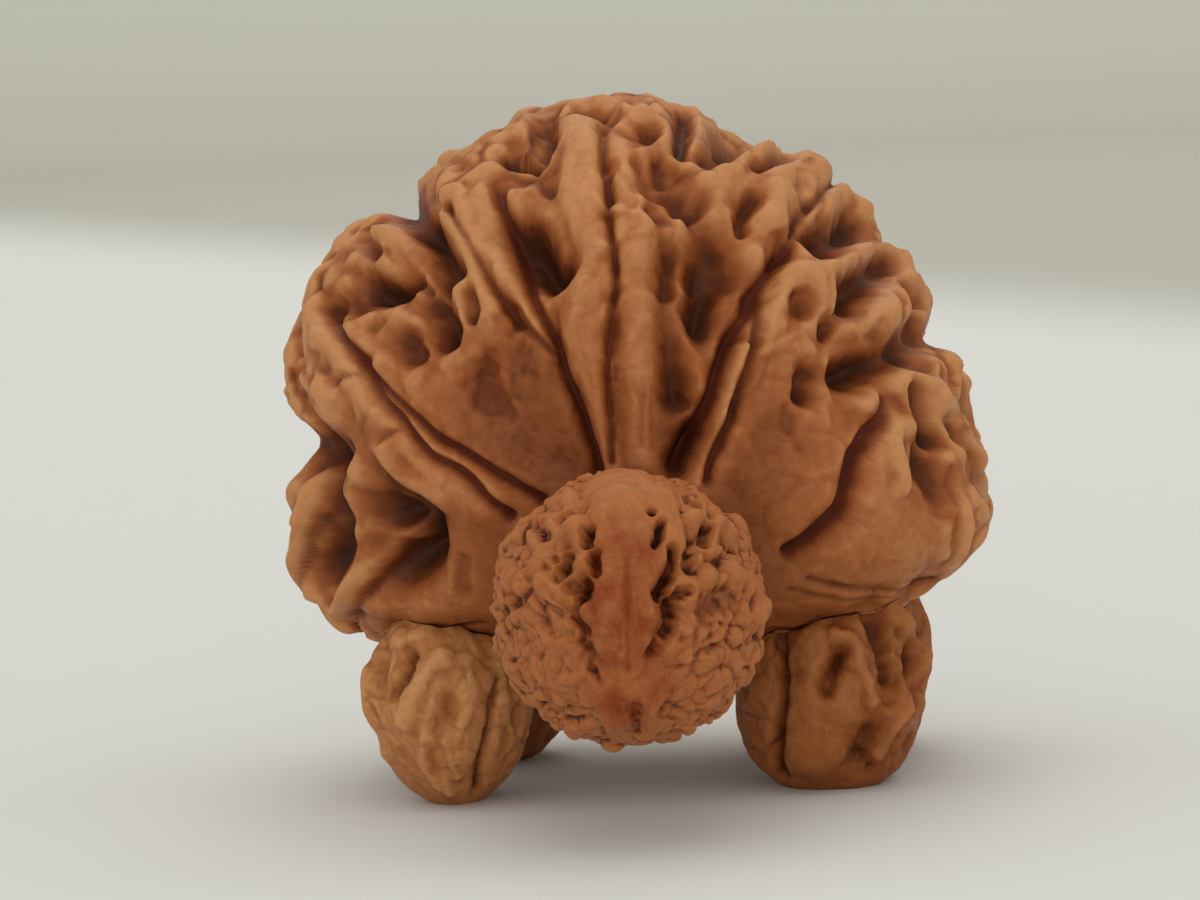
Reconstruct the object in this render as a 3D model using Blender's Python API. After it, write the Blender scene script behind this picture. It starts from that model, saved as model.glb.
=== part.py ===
# A small turtle put together from whole walnuts: one big knobbly nut lying with its
# stem end forward is the shell, a small round bumpy nut is the head, and four small
# nuts with their lower ends ground flat are the legs. All sizes are in millimetres
# until a piece is placed. +Z is up and the head looks towards -Y.
import bpy
import bmesh
import math
import numpy as np

mm = 0.001

# The space left between two nuts where they meet
seat_gap = 0.3
# The seat under a nut clears the highest ridge within this angle, in radians
seat_reach = 0.05
# Points of a foot this near the ground, in metres, are laid flat on it
foot_snap = 0.00006

# A place on a nut is (clock, polar) in degrees about the nut's centre. Clock 0 is up,
# +90 is the figure's +X side. Polar 0 is straight ahead and 180 is straight back.
# A stroke is (half width, height, [places along its crest or bottom]). Bands are broad
# flat-topped strokes, and a larger band_edge gives them a steeper edge.

shell = {
    "name": "shell_nut",
    "centre": (0.0, 0.0, 26.0),
    "half_width": (26.0, 26.0),
    "half_depth": (19.0, 21.0),
    "half_height": (15.2, 25.8),
    "squareness": (2.7, 2.15),
    "band_edge": 2.8,
    "panels": 29,
    "gather": 0.3,
    "finest": 0.75,
    "smooth_near": (184, 28),
    "lobes": [
        (-106, 76, 8.0, 1.7),
        (-122, 86, 5.0, 2.2),
        (-95, 86, 3.4, -3.2),
        (-65, 90, 3.0, -1.0),
        (-72, 88, 6.0, 0.8),
        (-57, 88, 4.0, 0.7),
        (-46, 88, 2.6, 1.2),
        (-39, 88, 4.5, -1.9),
        (-12, 86, 8.0, -0.4),
        (0, 88, 4.5, 0.9),
        (17, 88, 5.0, -1.3),
        (20, 92, 3.0, -1.8),
        (21, 104, 3.6, -1.6),
        (43, 94, 3.6, -1.8),
        (52, 88, 10.0, -2.6),
        (62, 91, 3.6, -1.6),
        (77, 88, 6.0, -2.0),
        (83, 90, 3.4, -1.3),
        (94, 86, 4.0, -0.6),
        (104, 80, 8.0, 1.2),
        (180, 150, 6.0, 1.4),
    ],
    "bands": {
        "crown left": (1.75, 1.15, [
            (-6, 74), (-6, 62), (-6, 53), (-6, 46), (-6, 38), (-9, 31), (-12, 24)]),
        "crown left low": (0.9, 1, [(-11, 24), (-12, 16), (-17, 6), (-127, 1)]),
        "crown right": (1.35, 1.1, [(9, 48), (10, 43), (10, 36), (13, 29), (18, 21)]),
        "crown right low": (1.1, 0.9, [(18, 21), (28, 14), (73, 6)]),
        "strap": (1, 1, [(-26, 63), (-26, 57), (-26, 52), (-27, 45), (-26, 39), (-26, 34)]),
        "left plate": (1.2, 0.7, [(-83, 44), (-88, 41), (-92, 37)]),
        "left plate high": (1.1, 0.6, [(-74, 56), (-76, 51), (-78, 48)]),
    },
    "ridges": {
        "crown right high": (0.84, 0.9, [(2, 68), (3, 61), (4, 55)]),
        "crown right lip": (0.48, 0.4, [(16, 37), (22, 30), (31, 21)]),
        "crown cap": (1.1, 0.7, [(-5, 82), (-3, 82), (0, 80)]),
        "strap flange": (0.84, 1.1, [
            (-37, 64), (-35, 64), (-33, 60), (-33, 55), (-34, 51), (-36, 47), (-37, 43), (-42, 38)]),
        "temple knob": (1, 1.7, [(-45, 71), (-43, 68), (-42, 64), (-42, 60)]),
        "temple crest one": (0.96, 0.9, [
            (-58, 85), (-56, 83), (-53, 75), (-51, 68), (-49, 63), (-47, 60)]),
        "temple crest two": (0.72, 0.6, [(-59, 78), (-55, 73), (-52, 68)]),
        "temple crest three": (0.96, 1, [
            (-64, 63), (-63, 57), (-60, 57), (-56, 56), (-52, 54), (-48, 53), (-47, 51)]),
        "temple crest four": (1, 0.6, [(-50, 39), (-55, 40), (-60, 41), (-66, 42)]),
        "temple crest five": (1.08, 0.5, [(-41, 42), (-44, 38), (-49, 33)]),
        "temple crest six": (0.72, 0.8, [(-46, 51), (-42, 49), (-41, 46)]),
        "crown knob": (1, 1.4, [(-20, 61), (-18, 58), (-15, 55), (-14, 52), (-13, 48)]),
        "left brow": (0.84, 0.6, [(-62, 61), (-64, 55), (-66, 50), (-68, 45), (-71, 40), (-74, 35)]),
        "left flange": (1.6, 1.2, [
            (-65, 71), (-67, 65), (-70, 59), (-73, 53), (-76, 49), (-79, 44), (-86, 39), (-93, 33),
            (-102, 28)]),
        "flange edge": (1.08, 1.3, [
            (-75, 65), (-79, 61), (-84, 58), (-88, 55), (-92, 53), (-96, 50), (-100, 48)]),
        "flange lip": (1.08, 1.4, [(-84, 47), (-88, 46), (-92, 44), (-94, 41), (-97, 36)]),
        "edge knob one": (1, 1, [(-64, 78), (-66, 73), (-67, 70)]),
        "edge knob two": (1, 0.9, [(-75, 66), (-77, 62), (-79, 62)]),
        "temple rim": (0.96, 0.7, [(-61, 84), (-56, 84), (-51, 80), (-46, 75)]),
        "jowl crest": (0.9, 1.7, [
            (-98, 49), (-103, 48), (-108, 51), (-110, 56), (-113, 61), (-117, 71)]),
        "jowl edge": (0.9, 1.4, [(-94, 67), (-98, 70), (-103, 72), (-107, 77), (-112, 79)]),
        "jowl edge high": (0.84, 0.9, [(-92, 67), (-95, 69)]),
        "jowl face": (3, 0.6, [(-119, 56), (-123, 51), (-125, 43)]),
        "right strand": (0.72, 1.1, [
            (50, 37), (53, 34), (57, 30), (62, 27), (69, 24), (78, 21), (89, 18), (100, 17)]),
        "right flange": (1.2, 0.6, [(43, 51), (46, 47), (50, 42)]),
        "hollow brow": (0.84, 0.9, [(15, 50), (19, 51), (24, 51), (28, 51), (32, 53), (36, 53)]),
        "brow crest one": (0.84, 0.6, [
            (13, 58), (15, 61), (18, 62), (21, 62), (24, 62), (26, 65), (29, 65), (32, 64)]),
        "brow crest two": (0.96, 0.7, [(19, 60), (22, 58), (26, 55), (30, 54), (34, 53)]),
        "brow crest three": (0.84, 0.4, [(32, 61), (34, 60), (36, 58), (35, 54)]),
        "peak crest one": (0.72, 0.9, [(6, 66), (7, 63), (9, 60)]),
        "peak crest two": (0.72, 0.9, [(5, 78), (8, 76), (10, 71), (11, 67), (10, 64)]),
        "peak crest three": (1.08, 0.7, [(12, 99), (14, 101), (17, 72)]),
        "peak crest four": (0.6, 0.8, [(21, 65), (22, 69), (24, 73)]),
        "shoulder top": (1, 0.9, [(27, 79), (29, 97), (32, 99), (34, 103), (36, 104)]),
        "shoulder crest one": (0.72, 0.7, [(33, 74), (34, 69), (33, 65)]),
        "shoulder crest two": (0.84, 1.1, [
            (36, 99), (39, 99), (42, 78), (45, 77), (47, 73), (50, 75), (52, 78)]),
        "shoulder knob": (0.96, 1.3, [(46, 54), (49, 55), (52, 55), (55, 53), (57, 50)]),
        "shoulder crest three": (0.72, 1, [(50, 57), (50, 61), (51, 65), (52, 71)]),
        "shoulder crest four": (1.08, 0.9, [(59, 98), (59, 73), (61, 65), (62, 60), (63, 56)]),
        "shoulder crest five": (0.96, 0.9, [(58, 106), (61, 102), (65, 102), (68, 101), (71, 99)]),
        "shoulder crest six": (0.96, 0.9, [(62, 69), (66, 67), (70, 66), (74, 65), (77, 61)]),
        "shoulder crest seven": (0.72, 0.9, [(59, 46), (64, 46), (69, 45), (74, 44)]),
        "shoulder crest eight": (0.72, 0.8, [(66, 49), (66, 52), (67, 57), (68, 61), (71, 65)]),
        "shoulder crest nine": (0.84, 0.8, [(48, 106), (51, 106), (54, 106), (56, 101)]),
        "cheek brow": (0.6, 0.6, [(52, 37), (54, 40), (56, 43), (60, 44)]),
        "cheek face": (3, 0.5, [(82, 39), (93, 36), (105, 35)]),
        "jaw crest": (1, 1.6, [(78, 52), (78, 55), (81, 55), (85, 55), (89, 54), (93, 54), (97, 55)]),
        "jaw ridge": (1, 0.6, [(83, 52), (88, 52), (93, 52)]),
        "jaw crest outer": (1, 1.5, [
            (77, 63), (82, 64), (86, 64), (90, 66), (94, 67), (99, 68), (104, 69), (109, 70)]),
        "jaw knob": (1.08, 1, [(78, 66), (80, 69), (83, 68)]),
        "jaw edge": (0.72, 0.8, [(84, 66), (88, 68), (91, 71), (95, 94)]),
        "jaw rim": (1.08, 0.8, [(84, 104), (87, 103), (91, 101), (94, 99)]),
        "jaw face": (4.2, 1.1, [(105, 52), (108, 57)]),
        "jaw hump": (1.2, 0.5, [(98, 54), (100, 55)]),
        "nape strand": (0.96, 0.9, [(25, 36), (32, 31), (40, 28), (49, 26)]),
        "hollow strand": (0.96, 0.8, [(19, 50), (21, 45), (23, 39)]),
        "nape ridge": (0.72, 0.7, [(35, 45), (39, 39), (44, 34)]),
    },
    "grooves": {
        "crown seam": (0.28, 0.9, [
            (-2, 74), (-1.5, 64), (-0.5, 57.5), (0, 52), (1.5, 45.5), (2.5, 39.5), (1.5, 31.5),
            (-0.5, 24.5), (-2.5, 17), (-2, 9.5), (-19.5, 1.5)]),
        "crown seam twin": (0.2, 0.35, [(3.5, 39.5), (4, 33), (2.5, 26), (2.5, 19)]),
        "cap crease": (0.28, 0.5, [(-7.5, 82), (-4.5, 78.5), (-1.5, 79), (0.5, 81.5), (1, 90)]),
        "strap seam": (0.32, 0.9, [
            (-33, 65), (-32.5, 58.5), (-32.5, 53), (-33, 47.5), (-33, 42.5), (-32, 38.5),
            (-29.5, 33.5), (-26, 29)]),
        "crown crevice": (0.42, 1.6, [
            (-23, 65), (-23.5, 58), (-24, 53), (-24.5, 46.5), (-24.5, 40.5), (-24, 36),
            (-23.5, 31.5), (-24.5, 26.5), (-26.5, 20.5), (-28.5, 15.5), (-34.5, 10.5),
            (-53.5, 5.5), (-124.5, 4)]),
        "left seam lower": (0.38, 1.4, [
            (-63, 75.5), (-65, 65.5), (-66.5, 60), (-69, 55), (-73, 50.5), (-76, 45.5),
            (-80.5, 41.5), (-85, 38), (-88.5, 34), (-93.5, 30.5), (-101, 28), (-112, 25.5)]),
        "left seam upper": (0.34, 1.3, [
            (-66.5, 59.5), (-68.5, 55), (-71, 50), (-73, 46), (-75.5, 42), (-79.5, 38),
            (-82.5, 33.5), (-86.5, 30), (-92.5, 26), (-100, 22.5), (-112.5, 19)]),
        "right crevice": (0.55, 1.9, [
            (40, 58), (40.5, 53), (41, 49), (43, 45), (44, 40.5), (45.5, 37), (49, 32.5),
            (53.5, 29), (59, 25.5), (67, 21), (78.5, 17), (94.5, 14)]),
        "right seam": (0.32, 1.1, [
            (39.5, 106.5), (39, 72), (38.5, 66), (39.5, 61.5), (41, 58), (40.5, 54.5), (41, 51),
            (43, 47), (46.5, 43), (50.5, 40), (53.5, 37), (58, 33.5), (63.5, 30), (71, 27),
            (79.5, 24), (89, 21.5), (101, 20.5)]),
        "cheek crevice": (0.6, 2.1, [
            (79.5, 56.5), (83.5, 54), (85.5, 51.5), (88.5, 49.5), (92, 48), (96, 47), (100, 46),
            (104, 45.5), (108.5, 44), (113.5, 42.5), (118.5, 41)]),
        "cheek arc": (0.25, 0.3, [(73, 38), (79, 37), (83, 37.5), (87, 38.5)]),
        "jowl crease": (0.35, 0.8, [
            (-110, 52.5), (-113.5, 58), (-117, 65), (-120.5, 77), (-123.5, 83)]),
        "jowl edge crease": (0.4, 0.9, [
            (-100, 69), (-104.5, 73), (-109.5, 78), (-113.5, 80), (-116.5, 81.5)]),
        "jaw crease": (0.3, 0.5, [(94.5, 68), (98.5, 67.5), (102.5, 67.5), (107, 68), (111.5, 69.5)]),
        "plate edge one": (0.28, 0.5, [(-82.5, 48), (-80.5, 46.5), (-79, 44.5), (-79.5, 42.5)]),
        "plate edge two": (0.28, 0.5, [
            (-73.5, 61), (-71.5, 59.5), (-70, 56.5), (-69, 53.5), (-70.5, 50)]),
        "belly line left": (0.3, 0.6, [
            (-119, 78.5), (-123, 78), (-126.5, 75), (-130.5, 67), (-134, 55.5), (-137.5, 50)]),
        "belly line right": (0.3, 0.6, [
            (115.5, 73), (117.5, 68), (119, 63.5), (120.5, 58), (122, 52), (123.5, 46.5)]),
        "belly line low": (0.25, 0.4, [(119.5, 68.5), (122, 63), (124.5, 58), (127, 51), (129, 45.5)]),
        "nape line one": (0.25, 0.25, [(25, 16.5), (34, 12), (53, 8)]),
        "nape line two": (0.25, 0.25, [(33, 16), (44, 12.5), (65.5, 9.5)]),
    },
    "pits": {
        "strap hollow": (1.35, 4.14, [(-40, 69), (-40, 64), (-41, 59), (-41, 56)]),
        "temple pit one": (1, 3.22, [(-55, 70), (-53, 65), (-49, 62)]),
        "temple pit two": (0.5, 2.18, [(-47, 61), (-47, 58)]),
        "temple pit three": (1.2, 2.99, [(-48, 54), (-49, 51), (-52, 48)]),
        "temple pit four": (0.6, 1.26, [(-40, 47), (-42, 44)]),
        "temple pit five": (1, 1.49, [(-59, 54), (-61, 50)]),
        "temple pit six": (1.2, 1.15, [(-62, 74), (-59, 68)]),
        "temple pit seven": (0.8, 0.92, [(-57, 86), (-54, 80)]),
        "temple pit eight": (0.7, 1.15, [(-50, 81), (-50, 73)]),
        "crown hollow": (1.6, 3.56, [(-21, 54), (-19, 50), (-16, 45)]),
        "crown pit": (0.6, 2.53, [(-20, 73), (-17, 71), (-14, 69)]),
        "crown pit high": (0.8, 1.49, [(-13, 81), (-12, 73)]),
        "crown pit back": (0.8, 0.69, [(-18, 76)]),
        "crown pit left": (0.6, 0.8, [(-37, 100)]),
        "crown pit side": (0.6, 0.69, [(-29, 75)]),
        "peak pit one": (0.7, 1.95, [(17, 73), (19, 72)]),
        "peak pit two": (0.7, 1.72, [(10, 99), (12, 77), (13, 69)]),
        "peak pit three": (0.8, 1.15, [(7, 75)]),
        "peak pit four": (0.9, 1.38, [(10, 64), (9, 60), (11, 59)]),
        "peak pit five": (1, 1.84, [(14, 59), (16, 57), (19, 58)]),
        "great hollow": (2, 3.1, [(25, 47), (28, 50), (30, 44), (31, 40)]),
        "great hollow side": (1.1, 2.3, [(16, 47), (17, 43), (19, 40)]),
        "brow slot": (0.7, 1.84, [(29, 64), (29, 59), (30, 57)]),
        "brow hollow": (0.8, 1.72, [(27, 72), (29, 78), (30, 98)]),
        "shoulder pit one": (1.3, 2.76, [(45, 67), (46, 74), (48, 101)]),
        "shoulder pit two": (0.75, 1.26, [(49, 104), (51, 106)]),
        "shoulder pit three": (1.15, 2.53, [(57, 101), (57, 74), (57, 66), (58, 62)]),
        "shoulder pit four": (1, 2.18, [(64, 98), (67, 101)]),
        "shoulder pit five": (0.8, 1.26, [(59, 52)]),
        "shoulder pit six": (0.9, 0.92, [(52, 51)]),
        "long hollow": (1.5, 2.99, [(72, 53), (71, 57), (71, 63), (73, 71)]),
        "short hollow": (0.8, 2.18, [(67, 45), (72, 43)]),
        "cheek slot": (0.75, 2.99, [(79, 64), (83, 64), (87, 64), (90, 66)]),
        "nape slot": (1.1, 1.61, [(20, 40), (24, 34), (31, 28), (42, 21)]),
        "nape deep": (1.1, 1.61, [(72, 20), (89, 15)]),
        "edge slot": (0.8, 1.26, [(89, 72), (93, 77)]),
        "edge pit": (0.4, 0.69, [(96, 68)]),
        "edge panel": (1.6, 1.72, [(88, 100), (92, 101)]),
        "jaw valley": (1.5, 1.61, [(93, 63), (97, 66)]),
        "jowl hollow": (2.2, 4.6, [(-101, 49), (-106, 47), (-111, 48), (-113, 53)]),
        "jowl hollow outer": (1.9, 3.45, [(-98, 65), (-103, 65), (-108, 71)]),
        "under flange": (1.5, 4.48, [(-87, 69), (-91, 65), (-96, 65)]),
        "edge notch one": (0.6, 1.49, [(-70, 79), (-72, 76), (-75, 77)]),
        "edge notch two": (1.2, 2.53, [(-84, 80), (-87, 73), (-90, 71)]),
        "jowl side hollow": (0.7, 0.69, [(-120, 38), (-127, 42)]),
        "waist left": (1.6, 2.2, [(-86, 58), (-87, 66), (-88, 88), (-94, 112), (-120, 138)]),
        "waist right": (1.3, 2.0, [(71, 66), (71, 80), (72, 98), (80, 118), (115, 138)]),
        "top valley left": (1.4, 2.0, [(-40, 72), (-42, 86), (-46, 104), (-58, 124), (-110, 148)]),
        "top valley right": (1.6, 2.8, [(19, 72), (20, 84), (24, 102), (38, 122), (90, 146)]),
        "top valley middle": (1.2, 1.4, [(-8, 92), (-10, 108), (-14, 126), (-60, 152)]),
        "flank left": (1.2, 1.3, [(-64, 96), (-70, 114), (-92, 134)]),
        "flank right": (1.2, 1.3, [(50, 94), (56, 112), (86, 134)]),
        "low flank left": (1.3, 1.4, [(-118, 98), (-130, 118), (-150, 138)]),
        "low flank right": (1.3, 1.4, [(112, 98), (126, 118), (148, 138)]),
    },
    "dips": {
        "left panel": (3.8, 1.6, [(-48, 33), (-60, 23), (-88, 13)]),
        "nape valley": (2.3, 1.5, [(25, 50), (34, 39), (43, 28), (66, 18)]),
        "temple valley": (3.2, 1.2, [(-56, 73), (-52, 59), (-50, 48)]),
        "shoulder valley": (3, 1, [(46, 68), (56, 67), (61, 54)]),
        "peak valley": (2.6, 1, [(9, 72), (13, 63), (18, 57)]),
        "crown valley": (2, 1.2, [(-17, 72), (-17, 60), (-19, 48)]),
        "edge valley wide": (2.6, 0.8, [(92, 65), (99, 62)]),
        "cheek valley": (2.4, 1, [(79, 35), (97, 30), (115, 30)]),
        "jowl valley": (3.6, 1.4, [(-103, 64), (-107, 49)]),
    },
    "net": {"cells": 430, "seed": 11, "stretch": 0.7, "wall": 0.82, "low": 0.1, "high": 1.2,
            "from": 30.0, "to": 85.0, "uneven": 0.9, "calm": 0.75},
    "colour": (0.330, 0.118, 0.042, 1.0),
}


def direction(clock, polar):
    c = math.radians(clock)
    t = math.radians(polar)
    return np.array([math.sin(t) * math.sin(c), -math.cos(t), math.sin(t) * math.cos(c)])


def ease(low, high, x):
    t = np.clip((x - low) / (high - low), 0.0, 1.0)
    return t * t * (3.0 - 2.0 * t)


def base_radius(nut, d):
    """The plain egg form: half sizes differ left/right, front/back and below/above."""
    up = ease(-0.35, 0.35, d[:, 2])
    back = ease(-0.35, 0.35, d[:, 1])
    side = ease(-0.35, 0.35, d[:, 0])
    p = nut["squareness"][0] * (1.0 - up) + nut["squareness"][1] * up
    ax = nut["half_width"][0] * (1.0 - side) + nut["half_width"][1] * side
    ay = nut["half_depth"][0] * (1.0 - back) + nut["half_depth"][1] * back
    az = nut["half_height"][0] * (1.0 - up) + nut["half_height"][1] * up
    total = np.abs(d[:, 0] / ax) ** p + np.abs(d[:, 1] / ay) ** p + np.abs(d[:, 2] / az) ** p
    r = total ** (-1.0 / p)
    for clock, polar, reach, height in nut["lobes"]:
        place = direction(clock, polar)
        apart = np.linalg.norm(d - place, axis=1) * nut["half_height"][1]
        r = r + height * np.exp(-(apart / reach) ** 2)
    return r


def smooth_line(places, step=6):
    """A curve through the places on the unit ball, as points in order."""
    pts = [direction(c, t) for c, t in places]
    if len(pts) == 1:
        return np.array(pts)
    ends = [2 * pts[0] - pts[1]] + pts + [2 * pts[-1] - pts[-2]]
    out = []
    for i in range(1, len(ends) - 2):
        p0, p1, p2, p3 = ends[i - 1], ends[i], ends[i + 1], ends[i + 2]
        for k in range(step):
            t = k / step
            q = 0.5 * (2 * p1 + (p2 - p0) * t + (2 * p0 - 5 * p1 + 4 * p2 - p3) * t * t
                       + (3 * p1 - p0 - 3 * p2 + p3) * t ** 3)
            out.append(q)
    out.append(ends[-2])
    out = np.array(out)
    return out / np.linalg.norm(out, axis=1)[:, None]


def line_distance(p, line, reach):
    """Distance from each point to the line, only worked out near it."""
    best = np.full(len(p), 1e3)
    low = line.min(axis=0) - reach
    high = line.max(axis=0) + reach
    near = np.all((p > low) & (p < high), axis=1)
    q = p[near]
    if len(q) == 0:
        return best
    found = np.linalg.norm(q - line[0], axis=1)
    for a, b in zip(line[:-1], line[1:]):
        ab = b - a
        t = np.clip((q - a) @ ab / max(ab @ ab, 1e-9), 0.0, 1.0)
        found = np.minimum(found, np.linalg.norm(q - a - t[:, None] * ab, axis=1))
    best[near] = found
    return best


def strokes(nut, p, group, power):
    """Overlapping strokes of one kind blend by their strongest, not by their sum."""
    total = np.zeros(len(p))
    for half, height, places in nut.get(group, {}).values():
        wide = max(half, nut["finest"])
        tall = height * math.sqrt(half / wide)
        line = smooth_line(places)
        line = line * base_radius(nut, line)[:, None]
        t = line_distance(p, line, 4.0 * wide) / wide
        total += (tall * np.exp(-0.69 * t ** power)) ** 4
    return total ** 0.25


def net_cells(nut, p, d):
    """Cells drawn out along the nut's length: 1 on the walls between them, and a soft
    height that goes from cell to cell, some low and some high."""
    net = nut["net"]
    draw = np.random.RandomState(net["seed"])
    n = net["cells"]
    k = np.arange(n) + 0.5
    tilt = np.arccos(1.0 - 2.0 * k / n)
    turn = math.pi * (1.0 + 5.0 ** 0.5) * k
    seeds = np.stack([np.sin(tilt) * np.cos(turn), np.cos(tilt), np.sin(tilt) * np.sin(turn)], axis=1)
    seeds = seeds + draw.normal(0.0, 0.45 * math.sqrt(4.0 / n), seeds.shape)
    seeds = seeds / np.linalg.norm(seeds, axis=1)[:, None]
    heights = draw.uniform(-1.0, 1.0, n)
    size = nut["half_width"][0]
    spread = 0.5 * size * math.sqrt(4.0 * math.pi / n)
    wave = size * 0.05
    q = p + wave * np.stack([np.sin(p[:, 1] * 9.0 / size + p[:, 2] * 7.0 / size),
                             np.sin(p[:, 2] * 8.0 / size + 1.7),
                             np.sin(p[:, 0] * 9.0 / size - p[:, 1] * 6.0 / size)], axis=1)
    q = q * (size / np.linalg.norm(q, axis=1))[:, None]
    pole = direction(*nut["smooth_near"])
    along = pole - d * (d @ pole)[:, None]
    along = along / np.maximum(np.linalg.norm(along, axis=1), 1e-6)[:, None]
    first = np.full(len(p), 1e3)
    second = np.full(len(p), 1e3)
    weight = np.full(len(p), 1e-6)
    soft = np.zeros(len(p))
    for seed, height in zip(seeds * size, heights):
        gap = q - seed
        lengthwise = np.einsum("ij,ij->i", gap, along)
        apart = np.sqrt(np.maximum(np.einsum("ij,ij->i", gap, gap)
                                   - (1.0 - net["stretch"] ** 2) * lengthwise ** 2, 0.0))
        second = np.minimum(second, np.maximum(first, apart))
        first = np.minimum(first, apart)
        share = np.exp(-(apart / spread) ** 2)
        weight += share
        soft += share * height
    return np.exp(-((second - first) / (2.0 * net["wall"])) ** 2), soft / weight


def nut_radius(nut, d):
    """Radius of the finished nut in each direction."""
    r = base_radius(nut, d)
    p = d * r[:, None]
    from_pole = np.degrees(np.arccos(np.clip(d @ direction(*nut["smooth_near"]), -1.0, 1.0)))
    net = nut["net"]
    away = ease(net["from"], net["to"], from_pole)
    raised = np.maximum(strokes(nut, p, "ridges", 2.1), strokes(nut, p, "bands", nut["band_edge"]))
    sunk = np.maximum(strokes(nut, p, "pits", 2.6), strokes(nut, p, "slots", 4.5))
    cut = strokes(nut, p, "grooves", 1.6)
    dip = strokes(nut, p, "dips", 2.0)
    walls, soft = net_cells(nut, p, d)
    mesh = (net["low"] + (net["high"] - net["low"]) * away) * (walls - 0.45)
    mounds = net["uneven"] * (0.3 + 0.7 * away) * soft
    drawn = np.clip((raised + sunk) / 1.2, 0.0, 1.0)
    return r + raised - sunk - cut - dip + (mesh + mounds) * (1.0 - net["calm"] * drawn)


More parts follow.
